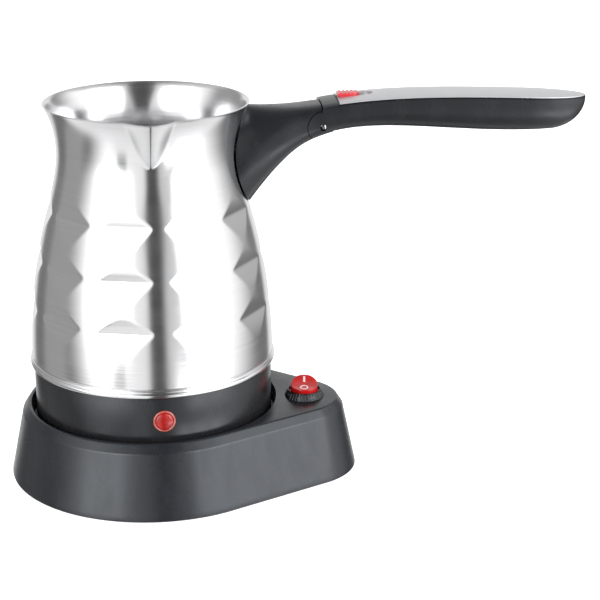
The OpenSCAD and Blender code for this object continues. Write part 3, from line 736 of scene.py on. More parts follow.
def carve(piece: bpy.types.Object, tool: Form, kind: Cut = Cut.REMOVE) -> bpy.types.Object:
    """Cuts a piece with a form and keeps the result as its mesh.

    Args:
        piece: The piece to cut.
        tool: The cutting form, already where it cuts.
        kind: Whether the tool is taken away, added, or kept as the common part.

    Returns:
        The piece.
    """
    cutter = tool.mesh("cutter")
    modifier = piece.modifiers.new("carve", "BOOLEAN")
    modifier.operation = kind.value
    modifier.solver = "EXACT"
    modifier.object = cutter
    bpy.context.view_layer.update()
    graph = bpy.context.evaluated_depsgraph_get()
    result = bpy.data.meshes.new_from_object(piece.evaluated_get(graph))
    piece.modifiers.clear()
    old = piece.data
    piece.data = result
    bpy.data.meshes.remove(old)
    data = cutter.data
    bpy.data.objects.remove(cutter)
    bpy.data.meshes.remove(data)
    return piece


def dress(
    piece: bpy.types.Object,
    finish: Finish,
    body: Body,
    replaces: Sequence[str] = (),
    sharp: float = 35.0,
) -> None:
    """Gives a piece its finish, its shading and the body it rides on.

    Args:
        piece: The piece.
        finish: Its finish.
        body: The body it moves with.
        replaces: Solids that it stands for.
        sharp: Edges steeper than this many degrees stay crisp.
    """
    data = piece.data
    data.materials.clear()
    data.materials.append(finish.material())
    data.shade_smooth()
    data.set_sharp_from_angle(angle=math.radians(sharp))
    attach(piece, body.value)
    if replaces:
        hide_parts(*replaces)
    log.info("%s: %s, rides on %s", piece.name, finish.name, body.value)


# ---------------------------------------------------------------- pot


@dataclass
class Vessel:
    """The drawn steel vessel with its spout, and the pressed facets in three rows."""

    foot_z: float = 50.9
    foot_r: float = 49.2
    neck_z: float = 135.0
    neck_r: float = 36.0
    rim_z: float = 154.3
    rim_r: float = 40.8
    wall: float = 0.8
    floor_round: float = 4.0
    spout_angle: float = -90.0
    spout_half: float = 14.4
    spout_reach: float = 6.2
    spout_drop: float = 18.6
    spout_widens: float = 0.55
    spout_leans: float = 0.9
    spout_edge: float = 1.8
    spout_fade: float = 0.7
    ridge_soft: float = 0.05
    hem_soft: float = 0.1
    columns: int = 10
    creases: tuple[float, ...] = (112.9, 93.1, 73.3)
    crease_soft: float = 0.12
    facet_soft: float = 0.1
    turn: float = 21.2
    depth: float = 1.3
    taper: float = 1.8
    up: float = 7.0
    down: float = 10.4
    seat_half: float = 20.0
    steps: int = 480
    pitch: float = 0.6
    belly: Bezier = field(init=False)
    flare: Bezier = field(init=False)

    def __post_init__(self) -> None:
        """Lays the curves of the wall below and above the neck."""
        foot, neck, rim = (self.foot_z, self.foot_r), (self.neck_z, self.neck_r), (self.rim_z, self.rim_r)
        self.belly = Bezier(
            (foot, (self.foot_z + 49, self.foot_r - 0.8), (self.neck_z - 17.5, self.neck_r), neck)
        )
        self.flare = Bezier(
            (neck, (self.neck_z + 9, self.neck_r), (self.rim_z - 3.3, self.rim_r - 2.2), rim)
        )

    def wall_r(self, z: float) -> float:
        """Radius of the plain wall at a height."""
        return self.belly.at(z) if z < self.neck_z else self.flare.at(z)

    def facet_angle(self, angle: float) -> float:
        """Angle of the nearest column of facets.

        Args:
            angle: Angle round the pot.

        Returns:
            The column's angle.
        """
        span = 360 / self.columns
        first = self.spout_angle + self.turn
        return first + span * round((angle - first) / span)

    def facet_r(self, angle: float, z: float, crease: float) -> float:
        """Radius of one pressed facet: flat across and deepest at its crease.

        Args:
            angle: Angle round the pot.
            z: Height.
            crease: Height of the facet's crease.

        Returns:
            Its radius there, without limit beyond the facet.
        """
        at = self.facet_angle(angle)
        plain = crease == self.creases[0] and abs(wrapped(at)) < self.seat_half
        away = math.sqrt((z - crease) ** 2 + self.crease_soft) - math.sqrt(self.crease_soft)
        share = 1 - away / (self.up if z > crease else self.down)
        if plain or share < 0:
            return math.inf
        flat = self.wall_r(z) - self.depth * share**self.taper
        return flat / math.cos(math.radians(angle - at))

    def spout_lift(self, angle: float, z: float) -> float:
        """How far the spout stands out of the plain wall.

        Args:
            angle: Angle round the pot.
            z: Height.

        Returns:
            The distance.
        """
        rise = (z - self.rim_z + self.spout_drop) / self.spout_drop
        if rise <= 0:
            return 0.0
        away = abs(wrapped(angle - self.spout_angle)) / (self.spout_half * rise**self.spout_widens)
        if away > self.spout_edge:
            return 0.0
        nose = self.ridge_soft
        ridge = (math.sqrt(away * away + nose) - math.sqrt(nose)) / (math.sqrt(1 + nose) - math.sqrt(nose))
        lift = 0.5 * (1 - ridge + math.hypot(1 - ridge, self.hem_soft))
        fade = smooth_step((self.spout_edge - away) / self.spout_fade)
        start = self.flare.at(self.rim_z - self.spout_drop)
        ridge_r = start + (self.rim_r + self.spout_reach - start) * min(1.0, rise) ** self.spout_leans
        return (ridge_r - self.wall_r(z)) * lift * fade

    def radius(self, angle: float, z: float) -> float:
        """Radius of the finished wall.

        Args:
            angle: Angle round the pot.
            z: Height.

        Returns:
            The radius.
        """
        wall = self.wall_r(z)
        for crease in self.creases:
            wall = soft_min(wall, self.facet_r(angle, z, crease), self.facet_soft)
        return wall + self.spout_lift(angle, z)

    def section(self, z: float, inset: float, at: float | None = None) -> list[Vec3]:
        """One ring of the wall.

        Args:
            z: Height that gives its shape.
            inset: How far it lies inside the outer surface.
            at: Height where the ring is put, when it differs.

        Returns:
            The ring's points.
        """
        height = z if at is None else at
        points = []
        for i in range(self.steps):
            angle = self.spout_angle + 360 * i / self.steps
            r = self.radius(angle, z) - inset
            turn = math.radians(angle)
            points.append((r * math.cos(turn), r * math.sin(turn), height))
        return points

    def heights(self, pitch: float) -> list[float]:
        """Heights of the rings, evenly spaced and with one on each crease.

        Args:
            pitch: Distance between them.

        Returns:
            The heights, from the lowest up.
        """
        count = round((self.rim_z - 1.0 - self.foot_z) / pitch)
        even = np.linspace(self.foot_z + 0.5, self.rim_z - 0.5, count)
        free = [z for z in even if all(abs(z - c) > pitch * 0.4 for c in self.creases)]
        return sorted([*free, *self.creases])

    def build(self) -> None:
        """Makes the vessel with its rounded rim and its floor."""
        half, corner = self.wall / 2, self.floor_round
        floor_z, plain_z = self.foot_z + self.wall, self.foot_z + 5.0
        sections = [self.section(self.foot_z, 1.4), self.section(self.foot_z, 0.35)]
        sections += [self.section(z, 0.0) for z in self.heights(self.pitch)]
        for x, y in arc(half, (20, 55, 90, 125, 160)):
            sections.append(self.section(self.rim_z, half - x, self.rim_z - half + y))
        inner = [z for z in self.heights(2 * self.pitch) if z > plain_z + 0.6]
        sections += [self.section(z, self.wall) for z in reversed(inner)]
        for x, y in arc(corner, (15, 35, 55, 75, 90)):
            sections.append(self.section(plain_z, self.wall + corner - x, floor_z + corner - y))
        rest = self.section(plain_z, corner)
        sections += [[(x * share, y * share, floor_z) for x, y, _ in rest] for share in (0.6, 0.3, 0.02)]
        dress(Form().loft(sections).mesh("pot_vessel"), POT_STEEL, Body.POT, ["pot_body"], sharp=40.0)

    def envelope(self, gap: float) -> Form:
        """Everything inside the wall and above the rim, larger by a gap.

        Args:
            gap: Clearance to the wall.

        Returns:
            The form, used to fit the handle to the wall.
        """
        heights = [self.foot_z + 40 + 3 * i for i in range(15)]
        heights += [self.neck_z + 1.5 * (i + 1) for i in range(12)]
        profile = [(self.wall_r(z) + gap, z) for z in heights]
        profile += [(self.rim_r + gap, self.rim_z), (self.rim_r + gap + 0.4, self.rim_z + 6)]
        return Form().revolve(profile, 240)


@dataclass
class Foot:
    """What carries the vessel: bright ring, black housing and indicator."""

    low_z: float = 22.9
    ring_z: float = 47.9
    top_z: float = 50.9
    radius: float = 48.5
    ring_r: float = 50.0
    spigot_r: float = 47.5
    wall: float = 2.3
    floor: float = 2.6
    socket_r: float = 13.6
    screw_circle: float = 39.0
    screw_r: float = 3.1
    indicator_angle: float = -87.5
    indicator_r: float = 4.4
    indicator_z: float = 15.3

    def build_ring(self) -> None:
        """Makes the bright ring: a wide bead, a groove and a thin upper lip."""
        r, z = self.ring_r, self.ring_z
        profile = [
            (self.spigot_r + 0.1, z), (r - 0.7, z), (r - 0.25, z + 0.12), (r - 0.04, z + 0.5),
            (r, z + 1.0), (r - 0.04, z + 1.5), (r - 0.25, z + 1.85), (r - 0.55, z + 1.98),
            (r - 0.62, z + 2.1), (r - 0.55, z + 2.22), (r - 0.35, z + 2.35), (r - 0.3, z + 2.6),
            (r - 0.4, z + 2.88), (r - 0.7, z + 3.0), (self.spigot_r + 0.1, z + 3.0),
        ]
        ring = Form().revolve(profile, 240, capped=False)
        dress(ring.mesh("bright_ring"), RIM_STEEL, Body.POT, ["trim_ring"], sharp=50.0)

    def indicator_place(self) -> Matrix:
        """Place of the indicator: its own Z runs out through the housing's wall."""
        out = turned(self.indicator_angle) @ moved(self.radius, 0, self.low_z + self.indicator_z)
        return out @ turned(90, "Y")

    def build_housing(self) -> None:
        """Makes the black housing with its socket, screw seats and indicator hole."""
        r, low, top = self.radius, self.low_z, self.top_z - 0.2
        inner = self.spigot_r - self.wall
        profile = [
            (self.socket_r, low + self.floor), (self.socket_r, low + 0.4), (self.socket_r + 0.4, low),
            (r - 1.6, low), (r - 0.9, low + 0.2), (r - 0.3, low + 0.75), (r, low + 1.6),
            (r, self.ring_z - 0.6), (r - 0.15, self.ring_z - 0.25), (r - 0.5, self.ring_z),
            (self.spigot_r, self.ring_z), (self.spigot_r, top), (inner, top), (inner, low + self.floor),
        ]
        housing = Form().revolve(profile, 240, capped=False).mesh("black_housing")
        cuts = Form().tube(self.indicator_r - 0.8, -8, 4, self.indicator_place())
        for angle in (90, 210, 330):
            seat = turned(angle) @ moved(self.screw_circle, 0, 0)
            cuts.tube(self.screw_r, low - 1, low + 1.4, seat, 48)
        dress(carve(housing, cuts), HOUSING_BLACK, Body.POT, ["pot_base_housing"])

    def build_indicator(self) -> None:
        """Makes the domed red lens and the rim round it, whose pale red is a painted highlight."""
        r, place = self.indicator_r, self.indicator_place()
        lens = [(r - 0.9, -4.5), (r - 0.9, 0.3), (r - 0.95, 0.75)]
        lens += [((r - 1.0) * x, 0.8 + 0.7 * y) for x, y in arc(1.0, range(0, 85, 12))]
        dome = Form().revolve(lens, 96).mesh("indicator_dome", place)
        dress(dome, LENS_RED, Body.POT, ["indicator_lens"])
        rim = [
            (r - 0.85, 0.05), (r - 0.05, 0.05), (r, 0.2), (r - 0.05, 0.5), (r - 0.3, 0.75),
            (r - 0.55, 0.8), (r - 0.8, 0.65), (r - 0.85, 0.4),
        ]
        ring = Form().revolve(rim, 96, capped=False).mesh("indicator_rim", place)
        # The rim's pale red is a painted highlight.
        dress(ring, LENS_RIM_PAINTED_HIGHLIGHT, Body.POT)

    def build(self) -> None:
        """Makes all three."""
        self.build_ring()
        self.build_housing()
        self.build_indicator()


# ---------------------------------------------------------------- base


@dataclass
class PowerBase:
    """The tear-drop moulding with its slanted shoulder and the well for the pot."""

    big_r: float = 59.8
    tail_r: float = 27.4
    tail_x: float = 56.5
    turn: float = -7.0
    top: float = 30.1
    draft: float = 5.5
    shoulder_z: float = 26.5
    shoulder_in: float = 2.4
    foot_round: float = 1.6
    crest_round: float = 0.9
    skirt: float = 0.3
    wall: float = 2.2
    well_r: float = 50.3
    well_z: float = 22.6
    plug_r: float = 13.3
    switch_x: float = 62.3
    hole_r: float = 7.15
    nut_r: float = 9.6
    gland_z: float = 10.6
    gland_r: float = 5.1
    steps: int = 480
    margin: float = 0.12

    @property
    def place(self) -> Matrix:
        """Turn of the base's long axis against the handle."""
        return turned(self.turn)

    def reach(self, angle: float, inset: float) -> float:
        """Distance from the pot's axis to the outline.

        Args:
            angle: Direction in radians, from the base's long axis.
            inset: How far the outline lies inside its lower edge.

        Returns:
            The distance.
        """
        big, small = self.big_r - inset, self.tail_r - inset
        lean = math.acos((big - small) / self.tail_x)
        side = abs(math.remainder(angle, 2 * math.pi))
        touch = math.atan2(small * math.sin(lean), self.tail_x + small * math.cos(lean))
        if side >= lean:
            return big
        if side >= touch:
            return big / math.cos(side - lean)
        across = self.tail_x * math.sin(side)
        return self.tail_x * math.cos(side) + math.sqrt(max(0.0, small * small - across * across))

    def outline(self, inset: float, z: float) -> list[Vec3]:
        """Ring along the outline.

        Args:
            inset: How far it lies inside the base's lower edge.
            z: Its height.

        Returns:
            The ring's points.
        """
        turns = angles(self.steps)
        reach = [self.reach(a, inset + self.margin) for a in turns]
        return [(r * math.cos(a), r * math.sin(a), z) for r, a in zip(reach, turns)]

    def circle(self, radius: float, z: float) -> list[Vec3]:
        """Ring round the pot's axis."""
        return [(radius * math.cos(a), radius * math.sin(a), z) for a in angles(self.steps)]

    def build(self) -> None:
        """Makes the moulding from its skirt over the shoulder into the well."""
        slope = self.draft / (self.shoulder_z - self.skirt)
        rise = (self.top - self.shoulder_z) / self.shoulder_in
        steep, slant = math.degrees(math.atan(1 / slope)), math.degrees(math.atan(rise))
        ledge, over = self.well_z - self.wall, self.draft + self.shoulder_in
        outer = [(self.wall, self.skirt), (0.35, self.skirt), (0.1, self.skirt + 0.2)]
        outer += [(slope * (z - self.skirt), z) for z in np.linspace(0.8, self.shoulder_z - 0.5, 14)]
        foot = (self.draft, self.shoulder_z)
        outer += fillet(foot, (steep, (steep + slant) / 2, slant), self.foot_round)
        outer += [(foot[0] + x, foot[1] + x * rise) for x in (0.27, self.shoulder_in - 0.36)]
        outer += fillet((over, self.top), (slant, 40.0, 20.0, 0.0), self.crest_round)
        well = [
            (self.well_r + 0.75, self.top), (self.well_r + 0.3, self.top - 0.1),
            (self.well_r + 0.06, self.top - 0.4), (self.well_r, self.top - 0.8),
            (self.well_r, self.well_z + 0.5), (self.well_r - 0.2, self.well_z + 0.12),
            (self.well_r - 0.6, self.well_z), (self.plug_r + 0.3, self.well_z),
            (self.plug_r, self.well_z - 0.3), (self.plug_r, ledge),
        ]
        sections = [self.outline(self.wall + slope * (ledge - self.skirt), ledge)]
        sections += [self.outline(inset, z) for inset, z in outer]
        sections += [self.circle(r, z) for r, z in well]
        shell = Form().loft(sections, capped=False).mesh("base_moulding", self.place)
        nest = self.place @ moved(self.switch_x, 0, 0)
        carve(shell, Form().tube(self.hole_r, ledge - 1, self.top + 1, nest))
        carve(shell, Form().tube(self.nut_r, ledge - 1, self.top - self.wall, nest))
        back = self.place @ moved(0, self.big_r - slope * (self.gland_z - self.skirt), self.gland_z)
        carve(shell, Form().tube(self.gland_r, -12, 12, back @ turned(-steep, "X")))
        dress(shell, BASE_CHARCOAL, Body.BASE, ["base_shell"], sharp=38.0)


@dataclass
class RockerSwitch:
    """The round rocker switch: ribbed collar, red rocker and its two marks."""

    x: float = 62.3
    turn: float = -7.0
    foot_z: float = 30.1
    collar_r: float = 8.1
    top_r: float = 6.8
    height: float = 2.9
    opening_r: float = 6.4
    tube_r: float = 7.0
    ribs: int = 36
    proud: float = 0.2
    rib_steep: float = 1.6
    rib_share: float = 0.55
    pivot_z: float = 31.5
    rocker_r: float = 5.6
    rocker_h: float = 4.8
    rocker_edge: float = 0.35
    dish_r: float = 18.0
    dish_rise: float = 0.7
    tilt: float = 16.0
    trunnion_r: float = 0.9
    ring_y: float = -2.75
    ring_radii: Pair = (1.72, 1.2)
    stroke_half: float = 0.42
    stroke_span: Pair = (1.1, 4.4)
    ink: Pair = (-0.2, 0.06)

    @property
    def place(self) -> Matrix:
        """Place of the switch in the small end of the base."""
        return turned(self.turn) @ moved(self.x, 0, 0)

    @property
    def rocker_place(self) -> Matrix:
        """Place of the rocker, tipped with its far half up."""
        return self.place @ moved(0, 0, self.pivot_z) @ turned(self.tilt, "X")

    def collar_section(self, radius: float, z: float, share: float) -> list[Vec3]:
        """Ring of the collar.

        Args:
            radius: Its radius over the ribs.
            z: Its height.
            share: How much of their height the ribs have here, 0 to 1.

        Returns:
            The ring's points.
        """
        points = []
        for turn in angles(self.ribs * 12):
            crest = 0.5 + 0.5 * math.cos(self.ribs * turn)
            wave = smooth_step(0.5 + self.rib_steep * (crest - self.rib_share))
            r = radius - self.proud * share * (1 - wave)
            points.append((r * math.cos(turn), r * math.sin(turn), z))
        return points

    def build_collar(self) -> None:
        """Makes the ribbed collar with its smooth raised lip and the tube below."""
        z, top = self.foot_z, self.foot_z + self.height
        spec = [
            (self.opening_r, z - 8, 0), (self.tube_r, z - 8, 0), (self.tube_r, z, 0),
            (self.collar_r, z, 0.6), (self.collar_r, z + 0.2, 1), (self.collar_r - 0.55, z + 1.5, 1),
            (self.top_r + 0.35, top - 0.75, 1), (self.top_r + 0.12, top - 0.5, 0.3),
            (self.top_r, top - 0.35, 0), (self.top_r, top - 0.12, 0),
            (self.top_r - 0.08, top - 0.02, 0), (self.top_r - 0.2, top, 0),
            (self.opening_r + 0.08, top - 0.04, 0), (self.opening_r, top - 0.15, 0),
        ]
        sections = [self.collar_section(r, at, share) for r, at, share in spec]
        collar = Form().loft(sections, capped=False).mesh("switch_collar", self.place)
        bore = self.place @ moved(0, 0, self.pivot_z) @ turned(90, "Y")
        carve(collar, Form().tube(self.trunnion_r + 0.05, -6.8, 6.8, bore, 32))
        dress(collar, BLACK, Body.BASE, ["switch_bezel"], sharp=32.0)

    def face_z(self, y: float) -> float:
        """Height of the rocker's dished face above its pivot."""
        dish = self.dish_r - self.dish_rise - math.sqrt(self.dish_r**2 - y * y)
        return self.rocker_h + min(0.0, dish)

    def build_rocker(self) -> None:
        """Makes the dished rocker with a rounded edge and its trunnions."""
        r, edge, turns = self.rocker_r, self.rocker_edge, angles(128)
        sides = ((3.9, -2.4), (r - 0.15, -2.4), (r, -2.2), (r, 1.5))
        sections = [[(x * math.cos(a), x * math.sin(a), z) for a in turns] for x, z in sides]
        face = [(r - edge + x, y - edge) for x, y in arc(edge, (0, 20, 40, 60, 80, 90))]
        face += [((r - edge) * float(share), 0.0) for share in np.linspace(0.92, 0.02, 14)]
        for radius, drop in face:
            ring = [(radius * math.cos(a), radius * math.sin(a)) for a in turns]
            sections.append([(x, y, self.face_z(y) + drop) for x, y in ring])
        rocker = Form().loft(sections).mesh("rocker_cap", self.rocker_place)
        axis = self.rocker_place @ turned(90, "Y")
        carve(rocker, Form().tube(self.trunnion_r, -6.65, 6.65, axis, 32), Cut.ADD)
        dress(rocker, ROCKER_RED, Body.ROCKER, ["switch_rocker"])

    def mark(self, name: str, edges: Iterable[tuple[Pair, Pair]], closed: bool) -> None:
        """Lays a thin raised mark on the face.

        Args:
            name: Name of the piece.
            edges: Points of its two edges, section by section.
            closed: Whether its ends meet.
        """
        low, high = self.ink
        sections = []
        for first, second in edges:
            corners = ((first, low), (first, high), (second, high), (second, low))
            sections.append([(x, y, self.face_z(y) + lift) for (x, y), lift in corners])
        piece = Form().loft(sections, capped=not closed).mesh(name, self.rocker_place)
        dress(piece, MARK_WHITE, Body.ROCKER)

    def build_marks(self) -> None:
        """Makes the ring on the near half and the plain stroke on the far half."""
        turns = np.linspace(0.0, 360.0, 64, endpoint=False)
        outer, inner = ([(x, y + self.ring_y) for x, y in arc(r, turns)] for r in self.ring_radii)
        self.mark("mark_ring", zip(outer, inner), closed=True)
        half, places = self.stroke_half, np.linspace(*self.stroke_span, 9)
        self.mark("mark_stroke", (((-half, y), (half, y)) for y in places), closed=False)

    def build(self) -> None:
        """Makes collar, rocker and marks."""
        self.build_collar()
        self.build_rocker()
        self.build_marks()


# ---------------------------------------------------------------- handle


@dataclass
class Handle:
    """The handle: fixed root, folding grip with its cover, hinge pin and latch slide."""

    pin_x: float = 69.2
    pin_z: float = 143.7
    neck_r: float = 36.0
    tip_x: float = 177.5
    tip_low: float = 16.0
    root_sag: float = 1.1
    side_w: float = 10.2
    grip_w: float = 10.5
    root_w: float = 13.3
    root_top: float = 8.6
    root_box: float = 1.4
    ear_r: float = 6.2
    knuckle_r: float = 5.2
    knuckle_y: float = 5.4
    knuckle_gap: float = 0.5
    gap: float = 0.3
    pin_r: float = 1.2
    bolt_z: float = 149.4
    bolt_w: float = 2.6
    bolt_room: float = 95.7
    cover_edge: float = 0.7
    cover_in: float = 0.15
    cover_short: float = 0.4
    crown: float = 0.98
    slider_l: float = 8.9
    slider_w: float = 3.1
    slide_seat: float = 1.25
    slide_gap: float = 0.15
    travel: float = 5.0
    slot_l: float = 10.3
    slot_half: float = 1.55
    groove: float = 0.5
    screw_r: float = 3.1
    screws_x: Pair = (108.2, 150.2)
    tip_run: float = 25.0
    root_low: Bezier = field(init=False)
    grip_low: Bezier = field(init=False)
    seam: Bezier = field(init=False)

    def __post_init__(self) -> None:
        """Lays the three curves of the side view."""
        x, z, tip = self.pin_x, self.pin_z, self.tip_x
        self.root_low = Bezier(
            ((self.neck_r - 2, z - 40), (x - 12.6, z - 6.75), (x - 7.8, z - 6.1), (x + 8, z - 2))
        )
        self.grip_low = Bezier(
            ((x - 7.2, z - 7.5), (x + 14.8, z + 5.3), (x + 48.8, z - 5.7), (tip - self.tip_low, z - 4.4))
        )
        self.seam = Bezier(
            ((x - 8, z + 6.4), (x + 22.8, z + 13.1), (x + 60.8, z + 10.5), (tip, z + 8.3))
        )

    @property
    def joint_x(self) -> float:
        """Where the grip starts."""
        return self.pin_x - 0.3

    @property
    def cover_x0(self) -> float:
        """Where the silver cover starts."""
        return self.pin_x + 6.4

    @property
    def slide_x0(self) -> float:
        """Where the red slide starts."""
        return self.cover_x0 + 0.3

    @property
    def slide_z0(self) -> float:
        """Height of the slide's underside, just above its level seat."""
        far = self.slide_x0 + self.slider_l + self.travel
        return self.seam.at(far) + self.cover_edge + self.crown - self.slide_seat + self.slide_gap

    @property
    def cover_tip(self) -> float:
        """Where the silver cover ends, a little before the grip."""
        return self.tip_x - self.cover_short

    def round_ended(self, start: float, end: float, half: float, low: float, high: float) -> Form:
        """Upright form with a square front and a round back end.

        Args:
            start: Where it starts along the handle.
            end: Where its round end stops.
            half: Half of its width.
            low: Its lower end.
            high: Its upper end.

        Returns:
            The form.
        """
        plan = [(end - half + x, y) for x, y in arc(half, np.linspace(-90.0, 90.0, 25))]
        plan += [(start, half), (start, -half)]
        return Form().loft([(x, y, z) for x, y in plan] for z in (low, high))

    def across(self, form: Form, radius: float, low: float, high: float) -> Form:
        """Adds a bar along Y through the hinge pin's axis to a form."""
        return form.tube(radius, low, high, moved(self.pin_x, 0, self.pin_z) @ turned(-90, "X"), 96)

    def root_section(self, x: float) -> list[Vec3]:
        """One upright section of the root: an oval on the pot, a rounded box at the hinge.

        Args:
            x: Its place along the handle.

        Returns:
            Its points.
        """
        share = min(1.0, max(0.0, (x - self.neck_r) / (self.joint_x - self.neck_r)))
        ease = smooth_step(share)
        width = self.root_w + (self.side_w - self.root_w) * ease
        high = self.pin_z + self.root_top - 4 * self.root_sag * share * (1 - share)
        low = self.root_low.at(x)
        power = 2 / (2 + self.root_box * ease)
        points = []
        for turn in angles(72):
            y = width * signed_power(math.cos(turn), power)
            z = (low + high) / 2 + (high - low) / 2 * signed_power(math.sin(turn), power)
            points.append((x, y, z))
        return points

    def root_form(self, start: float, end: float, steps: int) -> Form:
        """Solid of the root between two places along the handle."""
        return Form().loft(self.root_section(float(x)) for x in np.linspace(start, end, steps + 1))

    def ears(self, radius: float, inner: float) -> Form:
        """Two bars about the pin, from a distance on both sides of the middle outwards."""
        form = self.across(Form(), radius, -16, -inner)
        return self.across(form, radius, inner, 16)

    def build_root(self, vessel: Vessel) -> None:
        """Makes the root, fitted to the wall and cleared for the grip.

        Args:
            vessel: The vessel that it is fixed to.
        """
        root = self.root_form(self.neck_r - 3, self.joint_x - self.gap, 48).mesh("root_moulding")
        knuckle = self.root_form(self.pin_x - 9, self.pin_x + 7, 16).mesh("knuckle_part")
        bar = self.across(Form(), self.knuckle_r, -self.knuckle_y, self.knuckle_y)
        carve(knuckle, bar, Cut.KEEP)
        carve(root, Form.taken(knuckle), Cut.ADD)
        x, z, wall, r = self.pin_x, self.pin_z, self.neck_r, self.knuckle_r
        side, bolt = self.knuckle_y + self.knuckle_gap, self.bolt_w + self.gap
        ears = self.ears(self.ear_r + self.gap, self.knuckle_y)
        bore = self.across(Form(), self.pin_r + 0.05, -16, 16)
        under = Form().block((x - 0.7 * r, -side, z - r - 4), (x + 0.3 * r, side, z - r + 0.02))
        keeper = Form().block((self.joint_x - 2.4, -bolt, z + 5.3), (x + 3, bolt, z + 7.5))
        seat = Form().block((wall - 5, -8.3, z - 16.3), (wall + 1.9, 8.3, z - 1.7))
        tongue = Form().block((wall, -5.3, z - 7), (wall + 20.6, 5.3, z - 4.4))
        screw = Form().tube(self.screw_r, z - 40, z - 9.5, moved(wall + 13, 0, 0), 48)
        for tool in (vessel.envelope(0.5), ears, bore, under, keeper, seat, tongue, screw):
            carve(root, tool)
        dress(root, CHARCOAL, Body.POT, ["handle_root"], sharp=34.0)

    def tip_share(self, x: float, run: float, tip: float) -> float:
        """How full the grip still is towards its rounded tip.

        Args:
            x: Place along the handle.
            run: Length of the rounded end.
            tip: Where it ends.

        Returns:
            A share, from 1 before the rounded end to 0 at the tip.
        """
        if x < tip - run:
            return 1.0
        return math.sqrt(max(0.0, 1 - ((x - tip + run) / run) ** 2))

    def width(self, x: float, inset: float, tip: float) -> float:
        """Half of the grip's width.

        Args:
            x: Place along the handle.
            inset: How far it lies inside the grip's side.
            tip: Where the rounded end stops.

        Returns:
            Half of the width.
        """
        narrow = (self.grip_w - self.side_w) * max(0.0, 1 - (x - self.joint_x) / 20)
        return (self.grip_w - narrow - inset) * self.tip_share(x, self.tip_run, tip)

    def shell_section(self, x: float) -> list[Vec3]:
        """One section of the grip's lower shell: rounded below, with a step under the cover.

        Args:
            x: Its place along the handle.

        Returns:
            Its points.
        """
        tip, top = self.tip_x, self.seam.at(x)
        full = self.grip_low.at(min(x, tip - self.tip_low))
        low = top - (top - full) * self.tip_share(x, self.tip_low, tip)
        half = self.width(x, 0.0, tip)
        step = half - min(0.95, 0.3 * half)
        ledge = top - 0.3 * self.tip_share(x, self.tip_low, tip)
        points = [(x, -step, top + 0.3), (x, -step, ledge)]
        for turn in np.linspace(math.pi, 2 * math.pi, 49):
            drop = max(0.0, -math.sin(turn)) ** (2 / 3)
            z = min(ledge, top - (top - low) * drop)
            points.append((x, half * signed_power(math.cos(turn), 2 / 3.2), z))
        return [*points, (x, step, ledge), (x, step, top + 0.3)]

    def nose_section(self, x: float) -> list[Vec3]:
        """One section of the nose before the cover, crowned as the cover is.

        Args:
            x: Its place along the handle.

        Returns:
            Its points.
        """
        seam, w = self.seam.at(x), self.side_w
        brim = seam + self.cover_edge - 0.45
        upper = [(w * s, brim + 0.2 + self.crown * (1 - s * s)) for s in np.linspace(0.875, -0.875, 15)]
        return [(x, y, z) for y, z in ((-w, seam - 1), (w, seam - 1), (w, brim), *upper, (-w, brim))]

    def stations(self, start: float, tip: float) -> list[float]:
        """Places of the sections along the grip, closer together at the tip.

        Args:
            start: The first place.
            tip: Where the rounded end stops.

        Returns:
            The places.
        """
        even = [float(x) for x in np.linspace(start, tip - self.tip_run, 60)]
        close = [tip - self.tip_run + y for _, y in arc(self.tip_run, range(4, 88, 4))]
        return [*even, *close, tip - 0.1]

    def build_shell(self) -> None:
        """Makes the grip's dark lower shell with its nose and the two ears."""
        x, z = self.pin_x, self.pin_z
        side, slot = self.knuckle_y + self.knuckle_gap, self.bolt_w + self.gap
        body = (self.shell_section(at) for at in self.stations(self.joint_x, self.tip_x))
        shell = Form().loft(body).mesh("grip_moulding")
        nose = np.linspace(self.joint_x, self.cover_x0 - self.groove, 8)
        carve(shell, Form().loft(self.nose_section(float(at)) for at in nose), Cut.ADD)
        ears = self.root_form(x - 9, x + 1, 16).mesh("ear_part")
        carve(ears, self.ears(self.ear_r, side), Cut.KEEP)
        carve(shell, Form.taken(ears), Cut.ADD)
        room = self.across(Form(), self.knuckle_r + 2 * self.gap, -side, side)
        front = Form().block((x - 12, -side, z - 12), (x, side, z + self.knuckle_r))
        bores = self.across(Form(), self.pin_r + 0.02, -16, 16)
        mouths = self.ears(self.pin_r + 0.2, self.side_w - 1.0)
        run = Form().block(
            (x - 1, -slot, self.bolt_z - self.gap), (self.bolt_room, slot, self.bolt_z + 1.5)
        )
        shaft = Form().block((x + 6.6, -slot, self.bolt_z), (self.bolt_room, slot, z + 14))
        tools = [room, front, bores, mouths, run, shaft]
        for at in self.screws_x:
            low = self.grip_low.at(at)
            tools.append(Form().tube(self.screw_r, low - 4, low + 1.2, moved(at, 0, 0), 48))
        for tool in tools:
            carve(shell, tool)
        dress(shell, CHARCOAL, Body.GRIP, ["grip_shell"], sharp=34.0)

    def cover_top(self, x: float, y: float) -> float:
        """Height of the cover's crowned face.

        Args:
            x: Place along the handle.
            y: Place across it.

        Returns:
            The height.
        """
        half = max(0.1, self.width(x, self.cover_in, self.cover_tip))
        crown = self.crown * self.tip_share(x, self.tip_run, self.cover_tip)
        return self.seam.at(x) + self.cover_edge + crown * (1 - min(1.0, (y / half) ** 2))

